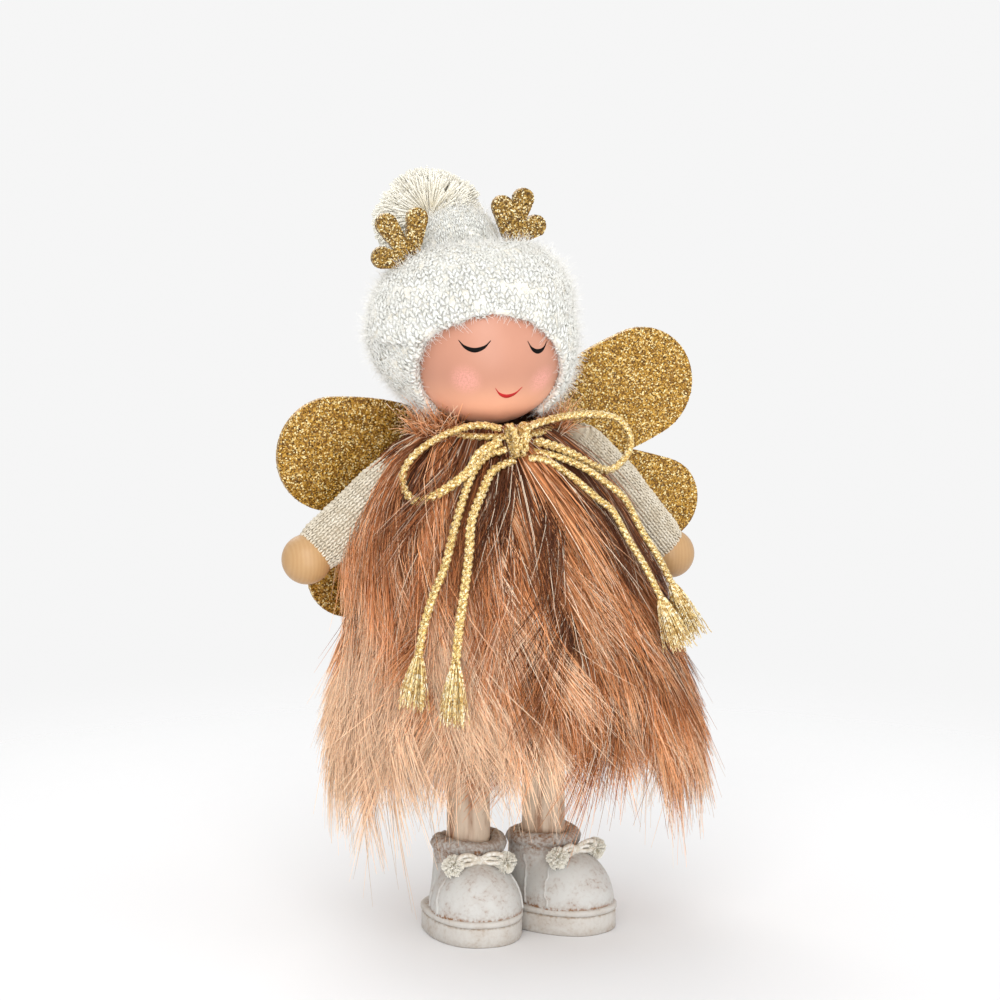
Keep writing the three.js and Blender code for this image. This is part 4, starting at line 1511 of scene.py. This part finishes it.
@dataclass
class BobbleHat:
    """The knitted hat with its rolled brim, fuzz and pompom."""

    head: Head
    stitches: KnitStitches
    body: Point = (-2.6, 8.3, 2.4)
    radii: Point = (33.5, 34.0, 30.5)
    turn: float = -22.0
    wall: float = 3.6
    fullness: float = 2.5
    lean: float = 0.11
    crown: Point = (-1.2, 21.6, 29.2)
    crown_radius: float = 13.2
    crease: float = 6.4
    crease_angle: float = 26.0
    crease_width: float = 7.0
    brim: Point = (0.24, 0.845, 0.478)
    brim_drop: float = -17.6
    lowest: float = 165.9
    stitch_depth: float = 0.9
    pompom: Point = (-6.5, 31.9, 35.0)
    pompom_radius: float = 18.4
    facing: Point = (-0.35, -0.86, 0.36)
    # Fibres to a square metre of the hat, and threads in each half of the pompom.
    fuzz: float = 1.3e6
    threads: int = 5200

    def reach(self, ways: np.ndarray) -> np.ndarray:
        """How far the hat's outside lies from the middle of the head.

        Args:
            ways: Ways out from there, as rows of length one.

        Returns:
            The distance along each, in millimetres.
        """
        turn = spin(-self.turn)
        base = -(turn @ np.array(self.body)) / self.radii
        lines = (ways @ turn.T) / self.radii
        near, far = np.zeros(len(ways)), np.full(len(ways), 90.0)
        for _ in range(26):
            middle = (near + far) / 2
            spots = base + lines * middle[:, None]
            spots[:, 0] -= self.lean * np.abs(spots[:, 2])
            power = np.where(spots[:, 2:] > 0, self.fullness, 2.0)
            inside = (np.abs(spots) ** power).sum(axis=1) < 1
            near, far = np.where(inside, middle, near), np.where(inside, far, middle)
        crown = np.array(self.crown)
        polar = np.degrees(np.arccos(np.clip(ways @ unit(crown), -1, 1)))
        far = far - self.crease * np.exp(-(((polar - self.crease_angle) / self.crease_width) ** 2))
        far = np.maximum(far, self.head.radius + self.wall)
        close = ways @ crown
        left = close * close - crown @ crown + self.crown_radius**2
        top = np.where(left > 0, close + np.sqrt(np.maximum(left, 0)), 0)
        return np.maximum(far, top)

    def profile(self, angle: float, axes: Sequence[np.ndarray], steps: int) -> np.ndarray:
        """The hat's line from its top down over the rolled brim.

        Args:
            angle: Where round the hat it is, in radians.
            axes: The way to the hat's top, and two ways square to it.
            steps: How many points it has.

        Returns:
            Its points, evenly spaced, in millimetres.
        """
        up, first, second = axes
        centre = np.array(self.head.centre)
        line = []
        polar = np.radians(np.arange(0.0, 170.0, 1.5))[:, None]
        aside = first * math.cos(angle) + second * math.sin(angle)
        ways = up * np.cos(polar) + aside * np.sin(polar)
        for way, far in zip(ways, self.reach(ways)):
            spot = way * (far - self.stitch_depth)
            line.append(centre + spot)
            if spot @ np.array(self.brim) < self.brim_drop + 2.0 or line[-1][2] < self.lowest + 2.0:
                break
        outer = line[-1]
        inner = centre + way * (self.head.radius + 0.35)
        middle = (outer + inner) / 2
        radius = np.linalg.norm(outer - inner) / 2
        out = unit(outer - inner)
        down = line[-1] - line[-2]
        down = unit(down - out * (down @ out))
        flat = min(1.0, 2.0 / radius)
        for turn in np.linspace(0, math.pi, 10)[1:]:
            line.append(middle + radius * (math.cos(turn) * out + flat * math.sin(turn) * down))
        return even_steps(np.array(line), steps)

    def grid(self, rows: int, columns: int) -> tuple[np.ndarray, np.ndarray]:
        """Points all over the hat.

        Args:
            rows: How many rows they have, from the top to inside the brim.
            columns: Points in a row, once round.

        Returns:
            The points by row and column in metres, and the way out at each.
        """
        up = unit(self.crown)
        first = unit(np.cross(up, (0.0, 1.0, 0.0)))
        axes = (up, first, np.cross(up, first))
        lines = [self.profile(-2 * math.pi * column / columns, axes, rows) for column in range(columns)]
        points = np.stack(lines, axis=1)
        across = np.roll(points, -1, axis=1) - np.roll(points, 1, axis=1)
        along = np.gradient(points, axis=0)
        out = np.cross(across, along)
        out = out / np.maximum(np.linalg.norm(out, axis=2, keepdims=True), 1e-9)
        return metres(points.reshape(-1, 3)).reshape(points.shape), out

    def build(self) -> None:
        """Make the base, the stitches, the fuzz and the pompom."""
        rows, columns = 70, 132
        points, _ = self.grid(rows, columns)
        shape = Shape()
        shape.rings([points[row] for row in range(1, rows)][::-1], caps=False)
        top = shape.add_point(points[0][0])
        first = (rows - 2) * columns
        shape.faces += [(first + c, first + (c + 1) % columns, top) for c in range(columns)]
        base = link("hat base", shape.mesh("hat base"))
        self.face_out(base)
        dress_piece(base, HAT_LINING, Body.HEAD, "knit_hat")
        knit, out = self.grid(44, 80)
        self.stitches.lay("hat stitches", knit, out, HAT_KNIT, Body.HEAD, 0.35, 0.26, 1.12, 0.7)
        fuzz = fuzz_recipe()
        for number in (1, 2):
            values = {
                "Density": self.fuzz, "Points": 2, "Length": 1.1 * MM,
                "Fibre Radius": 0.065 * MM, "Lean": 2.6, "Seed": 3 * number,
            }
            fuzz.piece(f"hat fuzz {number}", FUZZ, Body.HEAD, values, base.data.copy())
        self.bobble()

    def bobble(self) -> None:
        """Make the pompom of cut yarn round a denser heart."""
        centre = metres([np.array(self.head.centre) + self.pompom])[0]
        tufts = tuft_recipe()
        for number, nodes in ((1, ["pompom"]), (2, [])):
            values = {
                "Threads": self.threads, "Points": 4, "Centre": tuple(centre),
                "Facing": tuple(unit(self.facing)), "Inner Radius": 3.0 * MM,
                "Outer Radius": self.pompom_radius * 1.09 * MM, "Thread Radius": 0.3 * MM,
                "Tufts": 1.9, "Seed": 20 + number,
            }
            tufts.piece(f"pompom yarn {number}", YARN, Body.HEAD, values, nodes=nodes)
        heart = Shape()
        heart.ball(centre, 0.42 * self.pompom_radius * MM)
        heart.piece("pompom heart", HAT_LINING, Body.HEAD)

    def face_out(self, piece: Object) -> None:
        """Turn the faces so that most of them look away from the head."""
        centre = Vector(metres([self.head.centre])[0])
        outwards = sum((face.center - centre).dot(face.normal) * face.area for face in piece.data.polygons)
        if outwards < 0:
            piece.data.flip_normals()


# Arms


@dataclass
class Arm:
    """A stuffed rib-knit sleeve on its wire, with a wooden bead for a hand."""

    side: Side
    hang: float
    stitches: KnitStitches
    shoulder: Point = (28.0, 4.0, 154.0)
    reach: float = 48.5
    bead: float = 8.0
    profile: tuple[Pair, ...] = (
        (-7.5, 1.2), (-6.2, 4.6), (-3.2, 7.2), (1.0, 8.2), (16.0, 9.2), (30.0, 8.6), (41.0, 8.3), (44.2, 7.6),
    )
    knit_depth: float = 0.75

    @property
    def start(self) -> np.ndarray:
        """The shoulder, in millimetres."""
        return np.array(self.shoulder) * (self.side.value, 1, 1)

    @property
    def along(self) -> np.ndarray:
        """The way down the arm."""
        lean = math.radians(self.hang)
        return np.array([self.side.value * math.sin(lean), 0.0, -math.cos(lean)])

    def build(self) -> None:
        """Make the sleeve and the bead."""
        body = Body.LEFT_ARM if self.side is Side.LEFT else Body.RIGHT_ARM
        word = self.side.word
        tube, _ = self.rows(30, 46)
        shape = Shape()
        shape.rings(list(tube))
        shape.piece(f"{word} sleeve stuffing", SLEEVE_LINING, body, f"{word}_sleeve")
        grid, out = self.rows(34, 24)
        self.stitches.lay(f"{word} sleeve rib", grid[2:], out[2:], SLEEVE_KNIT, body, 0.08, 0.7, 0.86)
        ball = Shape()
        ball.ball(metres([self.start + self.along * self.reach])[0], self.bead * MM, 28, 40)
        ball.piece(f"{word} wooden hand", BEAD_WOOD, body, f"{word}_hand_bead")

    def rows(self, rows: int, columns: int) -> tuple[np.ndarray, np.ndarray]:
        """Points round the sleeve, under its stitches.

        Args:
            rows: How many rows they have, from the shoulder to the cuff.
            columns: Points in a row, once round.

        Returns:
            The points by row and column in metres, and the way out at each.
        """
        start, along = self.start, self.along
        first = np.array([0.0, 1.0, 0.0])
        second = np.cross(along, first)
        ways = [first * math.cos(turn) + second * math.sin(turn) for turn in round_angles(columns)]
        places = [place for place, _ in self.profile]
        radii = [radius for _, radius in self.profile]
        points = []
        for gone in np.linspace(places[0], places[-1], rows):
            radius = max(0.6, np.interp(gone, places, radii) - self.knit_depth)
            points.append([metres([start + along * gone + way * radius])[0] for way in ways])
        return np.array(points), np.array([ways] * rows)


# Feet


@dataclass
class Foot:
    """A cast shoe with sole, welt, toe, collar, laces and fluffy lace balls, on a washed leg."""

    side: Side
    turn: float
    spread: float = 13.1
    leg_radius: float = 7.0
    leg_low: float = 15.0
    leg_high: float = 62.0
    toe: float = 27.5
    heel: float = 13.5
    width: float = 32.0
    sole: float = 8.2
    ankle: float = 11.4
    collar: float = 27.9
    collar_radius: float = 9.6
    collar_roll: float = 2.6
    dome: Point = (14.2, 15.2, 16.8)
    dome_back: float = -11.0
    lace_ball: float = 3.6
    lace_spot: Point = (8.6, -15.0, 24.4)

    # Height and inset of each ring of the sole, and how much of the wash it holds.
    SOLE_RINGS = (
        (0.0, 1.3, 0.4), (0.0, 0.5, 0.5), (0.5, 0.0, 0.3), (3.0, 0.0, 0.1), (5.6, 0.0, 0.1),
        (6.0, 0.1, 0.5), (6.25, 0.6, 1.0), (6.5, 0.1, 0.4), (6.9, -0.3, 0.0), (8.0, -0.3, 0.0),
        (8.4, 0.2, 0.1), (8.5, 2.0, 1.0), (8.3, 3.4, 1.0),
    )
    # Height of each ring of the upper, and how much of the wash it holds.
    UPPER_RINGS = (
        (7.6, 1.0), (8.6, 0.9), (9.4, 0.25), (11.0, 0.05), (13.0, 0.0), (15.0, 0.0), (17.0, 0.0),
        (19.0, 0.0), (20.6, 0.0), (22.0, 0.1), (23.2, 0.2), (24.2, 0.3), (25.0, 0.4), (26.0, 0.6),
        (27.2, 0.9), (28.0, 1.0),
    )

    @property
    def under(self) -> np.ndarray:
        """The foot of the leg, in millimetres."""
        return np.array([self.side.value * self.spread, 0.0, 0.0])

    def place(self, points: Sequence[Sequence[float]]) -> np.ndarray:
        """Points of the shoe, turned and set under its leg, in metres."""
        return metres(np.asarray(points, dtype=float) @ spin(self.turn).T + self.under)

    def unplace(self, points: np.ndarray) -> np.ndarray:
        """Points in metres as points of the shoe itself."""
        return (points / MM - OFFSET - self.under) @ spin(self.turn)

    def outline(self, inset: float, height: float, count: int = 64) -> np.ndarray:
        """A ring of the sole, broad at the toe and narrower at the heel.

        Args:
            inset: How far it lies inside the sole's edge, in millimetres.
            height: How high it lies, in millimetres.
            count: How many points it has.

        Returns:
            Its points, in metres.
        """
        ring = []
        for turn in round_angles(count):
            aside, ahead = math.cos(turn), -math.sin(turn)
            long = (self.toe if ahead > 0 else self.heel) - inset
            part = 0.5 + 0.5 * ahead
            wide = (self.width / 2) * (0.82 + 0.18 * math.sin(math.pi * min(1.0, part * 1.25) / 2)) - inset
            x = wide * math.copysign(abs(aside) ** 0.82, aside)
            ring.append((x, -long * math.copysign(abs(ahead) ** 0.92, ahead), height))
        return self.place(ring)

    def upper_ring(self, height: float, swell: float = 0.0, count: int = 64) -> np.ndarray:
        """A level ring of the upper, where the toe's dome meets the ankle.

        Args:
            height: How high it lies, in millimetres.
            swell: How far it stands off the upper, in millimetres.
            count: How many points it has.

        Returns:
            Its points, in metres.
        """
        part = min(0.999, max(0.0, (height - self.sole) / self.dome[2]))
        shrink = math.sqrt(1 - part * part)
        heart = np.array([0.0, -4.0])
        ring = []
        ankle = self.ankle + 1.6 * (1 - part) ** 2
        for turn in round_angles(count):
            way = np.array([math.cos(turn), math.sin(turn)])
            reach = [self.cast(heart, way, (0.0, 0.0), (ankle, ankle + 0.6 * (1 - part)))]
            toe = (self.dome[0] * shrink + 0.4, self.dome[1] * shrink + 0.4)
            reach.append(self.cast(heart, way, (0.0, self.dome_back), toe))
            far, near = max(reach), min(reach)
            blend = max(0.0, 1 - (far - near) / 5.0)
            far += 1.1 * blend * blend + swell
            ring.append((heart[0] + way[0] * far, heart[1] + way[1] * far, height))
        return self.place(ring)

    @staticmethod
    def cast(heart: np.ndarray, way: np.ndarray, centre: Sequence[float], radii: Sequence[float]) -> float:
        """The distance from a point to the far side of an ellipse.

        Args:
            heart: The point.
            way: The way from it, at length one.
            centre: The ellipse's middle.
            radii: Its two radii.

        Returns:
            The distance, or nothing where the ellipse is missed.
        """
        base = (heart - centre) / radii
        line = way / np.asarray(radii)
        a, b, c = line @ line, line @ base, base @ base - 1
        inside = b * b - a * c
        return max(0.0, (-b + math.sqrt(inside)) / a) if inside > 0 else 0.0

    def build(self) -> None:
        """Make the shoe's parts and the leg."""
        word = self.side.word
        sole = Shape()
        rings = [self.outline(inset, height) for height, inset, _ in self.SOLE_RINGS]
        sole.rings(rings, hollow=[wash for _, _, wash in self.SOLE_RINGS])
        sole.piece(f"{word} sole", SOLE, Body.TORSO, f"{word}_shoe")
        upper = Shape()
        rings = [self.upper_ring(height) for height, _ in self.UPPER_RINGS]
        upper.rings(rings, hollow=[wash for _, wash in self.UPPER_RINGS])
        upper.piece(f"{word} upper", CASTING, Body.TORSO)
        self.rolled_collar()
        self.seams()
        self.laces()
        self.leg()

    def rolled_collar(self) -> None:
        """The rough rolled collar round the leg."""
        seeded = np.random.default_rng(7 + self.side.value)
        rings = []
        for turn in round_angles(56):
            ring = []
            lift = 0.54 * math.sin(2 * turn + 0.6)
            for part in round_angles(12):
                rough = self.collar_roll * (1 + seeded.uniform(-0.10, 0.13))
                out = self.collar_radius + rough * math.cos(part)
                height = self.collar + rough * math.sin(part) + lift
                ring.append((out * math.cos(turn), out * math.sin(turn), height))
            rings.append(self.place(ring))
        collar = Shape()
        collar.rings(rings, closed=True, hollow=[0.55] * len(rings))
        collar.piece(f"{self.side.word} collar", CASTING, Body.TORSO)

    def seams(self) -> None:
        """The raised seams on both sides of the upper."""
        foot = 9.0
        seams = Shape()
        for plane, top in ((-15.5, 21.5), (-6.0, 24.0)):
            for hand in (-1, 1):
                line = []
                for height in np.linspace(foot, top, 12):
                    local = self.unplace(self.upper_ring(height, 0.05, 128))
                    side = local[local[:, 0] * hand > 0]
                    best = side[np.argmin(abs(side[:, 1] - plane - (height - foot) * 0.25))]
                    line.append(self.place([best])[0])
                seams.tube(smooth_path(line, 24), 0.5 * MM, 6)
        seams.piece(f"{self.side.word} seams", CASTING, Body.TORSO)

    def laces(self) -> None:
        """The laces, tied in a bow with a fluffy ball on each end."""
        word = self.side.word
        laces = Shape()
        ends = []
        for hand in (-1, 1):
            loop = [(0, -14.2, 25.6), (hand * 3.0, -15.6, 27.6), (hand * 6.4, -16.2, 27.6),
                    (hand * 7.4, -16.4, 25.6), (hand * 4.6, -16.0, 24.6), (0, -14.6, 25.2)]
            laces.tube(smooth_path(self.place(loop), 26), 0.75 * MM, 7)
            ends.append((hand * self.lace_spot[0], *self.lace_spot[1:]))
            tail = [(0, -14.6, 25.4), (hand * 4.0, -15.2, 26.2), ends[-1]]
            laces.tube(smooth_path(self.place(tail), 14), 0.7 * MM, 7)
            cross = [(-hand * 6.2, -8.6, 25.0), (0, -11.2, 26.0), (hand * 6.4, -13.0, 23.0)]
            laces.tube(smooth_path(self.place(cross), 14), 0.7 * MM, 7)
        laces.ball(self.place([(0, -14.8, 25.6)])[0], 1.5 * MM, 8, 12)
        laces.piece(f"{word} laces", LACE, Body.TORSO)
        tuft = tuft_recipe()
        for number, end in enumerate(ends):
            values = {
                "Threads": 620, "Points": 4, "Centre": tuple(self.place([end])[0]), "Inner Radius": 0.5 * MM,
                "Outer Radius": (self.lace_ball + 0.5) * MM, "Thread Radius": 0.2 * MM, "Tufts": 2.4,
                "Seed": 60 + number,
            }
            tuft.piece(f"{word} lace ball {number + 1}", YARN, Body.TORSO, values)

    def leg(self) -> None:
        """The washed dowel leg."""
        circle = np.array([(math.cos(a), math.sin(a), 0.0) for a in round_angles(40)]) * self.leg_radius
        heights = np.linspace(self.leg_low, self.leg_high, 20)
        shape = Shape()
        shape.rings([metres(circle + self.under + (0.0, 0.0, height)) for height in heights])
        shape.piece(f"{self.side.word} washed leg", LEG, Body.TORSO, f"{self.side.word}_leg")


# Glitter foam


@dataclass
class GlitterFoam:
    """Glitter flakes on the CAD wings and antlers."""

    flake: float = 0.25
    density: float = 1.7e6
    tilt: float = 0.55

    def build(self) -> None:
        """Scatter flakes over the wings and the antlers."""
        recipe = self.recipe()
        for side in Side:
            wing = Body.LEFT_WING if side is Side.LEFT else Body.RIGHT_WING
            for node, finish, body in (
                (f"{side.word}_wing", GLITTER, wing),
                (f"{side.word}_antler", PALE_GLITTER, Body.HEAD),
            ):
                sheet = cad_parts[node]
                paint_node(node, finish)
                carrier = sheet.data.copy()
                carrier.transform(sheet.matrix_world)
                carrier.materials.clear()
                values = {
                    "Density": self.density, "Flake": self.flake * MM, "Tilt": self.tilt, "Seed": 31,
                }
                recipe.piece(node.replace("_", " ") + " glitter", finish, body, values, carrier)

    def recipe(self) -> Recipe:
        """Small tilted flakes on every face."""
        recipe = Recipe("glitter flakes")
        graph = recipe.graph
        density, flake, tilt = recipe.inputs("Float", "Density", "Flake", "Tilt")
        (seed,) = recipe.inputs("Int", "Seed")
        inputs = {"Mesh": recipe.carrier, "Density": density, "Seed": seed}
        points = graph.node("GeometryNodeDistributePointsOnFaces", None, inputs)
        index = graph.node("GeometryNodeInputIndex")
        disc = graph.node("GeometryNodeMeshCone", None, {"Vertices": 4, "Radius Bottom": 1.0, "Depth": 0.3})
        lean = graph.scaled(recipe.random_vector(index, seed + 1.0), tilt)
        tipped = graph.node("FunctionNodeEulerToRotation", None, {0: lean})
        inputs = {0: points.other("Rotation"), 1: tipped}
        turned = graph.node("FunctionNodeRotateRotation", {"rotation_space": "LOCAL"}, inputs)
        size = flake * recipe.random(0.6, 1.15, index, seed + 2.0)
        inputs = {"Points": points, "Instance": disc, "Rotation": turned, "Scale": size}
        return recipe.end(graph.node("GeometryNodeInstanceOnPoints", None, inputs))


def paint_node(name: str, finish: Finish) -> None:
    """Give a CAD node that stays its finish."""
    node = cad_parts[name]
    node.data.materials.clear()
    node.data.materials.append(finish.material())
    log.info("%s in %s", name, finish.name)


def paint_hidden() -> None:
    """Finish the CAD nodes that stay as they are."""
    for name, finish in (
        ("base_disc", PLY), ("neck_dowel", PEG_WOOD), ("wing_pad", FELT),
        ("left_arm_wire", WIRE), ("right_arm_wire", WIRE),
    ):
        paint_node(name, finish)


# Stage


@dataclass
class Studio:
    """The camera, the soft light and the pale ground."""

    azimuth: float = -22.0
    elevation: float = 10.0
    target: Point = (-0.00408, 0.0013, 0.1393)
    distance: float = 1.3
    view: float = 0.32
    sensor: float = 36.0
    ground: Colour = (0.76, 0.76, 0.765, 1.0)

    # Name, place, size in metres and power in watts of each lamp.
    LAMPS = (
        ("key light", (-0.4, -0.88, 0.85), 0.8, 7.1),
        ("fill light", (0.85, -0.7, 0.45), 0.9, 1.7),
        ("low light", (-0.3, -1.0, 0.06), 0.7, 3.9),
        ("back light", (0.1, 0.9, 0.8), 0.8, 5.0),
    )

    def build(self) -> None:
        """Set the camera, the lights, the ground and the world."""
        self.camera()
        for lamp in self.LAMPS:
            self.lamp(*lamp)
        self.floor()
        self.world()

    def camera(self) -> None:
        """The camera of the photograph."""
        lens = bpy.data.cameras.new("camera")
        lens.sensor_width = self.sensor
        lens.lens = self.sensor * self.distance / self.view
        lens.clip_start = 0.01
        lens.clip_end = 20.0
        made = bpy.data.objects.new("camera", lens)
        turn = math.radians(self.azimuth)
        rise = math.radians(self.elevation)
        back = Vector((math.sin(turn) * math.cos(rise), -math.cos(turn) * math.cos(rise), math.sin(rise)))
        made.location = Vector(self.target) + back * self.distance
        made.rotation_euler = back.to_track_quat("Z", "Y").to_euler()
        bpy.context.scene.collection.objects.link(made)
        bpy.context.scene.camera = made

    def lamp(self, name: str, place: Sequence[float], size: float, power: float) -> None:
        """A soft square lamp that faces the angel.

        Args:
            name: Name of the lamp.
            place: Where it hangs, in metres.
            size: The length of its sides.
            power: Its power in watts.
        """
        light = bpy.data.lights.new(name, "AREA")
        light.size = size
        light.energy = power
        made = bpy.data.objects.new(name, light)
        made.location = place
        towards = Vector(place) - Vector((0.0, 0.0, 0.12))
        made.rotation_euler = towards.to_track_quat("Z", "Y").to_euler()
        bpy.context.scene.collection.objects.link(made)

    def floor(self) -> None:
        """The pale ground that takes the shadow."""
        half = 3.0
        corners = np.array([(-half, -half, 0), (half, -half, 0), (half, half, 0), (-half, half, 0)])
        ground = link("ground", mesh_of("ground", corners, [(0, 1, 2, 3)]))
        made = bpy.data.materials.new("pale ground")
        made.use_nodes = True
        shader = made.node_tree.nodes["Principled BSDF"]
        shader.inputs["Base Color"].default_value = self.ground
        shader.inputs["Roughness"].default_value = 0.9
        graph = Graph(made.node_tree)
        away = graph.vectors("LENGTH", graph.place(), out="Value")
        graph.feed(away.over(0.14, 0.42, 1.0, 0.0), shader, "Alpha")
        ground.data.materials.append(made)

    def world(self) -> None:
        """An even pale surround, dimmer as a light than it is to look at."""
        world = bpy.data.worlds.new("surround")
        bpy.context.scene.world = world
        world.use_nodes = True
        graph = Graph(world.node_tree)
        camera = graph.node("ShaderNodeLightPath", None, None, "Is Camera Ray")
        seen = camera
        for ray in ("Is Glossy Ray", "Is Transmission Ray"):
            seen = seen.math("MAXIMUM", camera.other(ray))
        background = world.node_tree.nodes["Background"]
        background.inputs["Color"].default_value = (1.0, 1.0, 1.0, 1.0)
        graph.feed(seen * 0.07 + 0.85, background, "Strength")


def main() -> None:
    """Build the angel in the order that it is put together."""
    logging.basicConfig(level=logging.INFO, format="%(message)s")
    bpy.context.scene.view_settings.view_transform = "Standard"
    Studio().build()
    GoldBow().build()
    head = Head()
    head.build()
    stitches = KnitStitches()
    BobbleHat(head, stitches).build()
    Arm(Side.LEFT, hang=40.5, stitches=stitches).build()
    Arm(Side.RIGHT, hang=52.0, stitches=stitches).build()
    Foot(Side.LEFT, turn=23.0).build()
    Foot(Side.RIGHT, turn=-8.0).build()
    GlitterFoam().build()
    FurDress().build()
    paint_hidden()


if __name__ == "__main__":
    main()
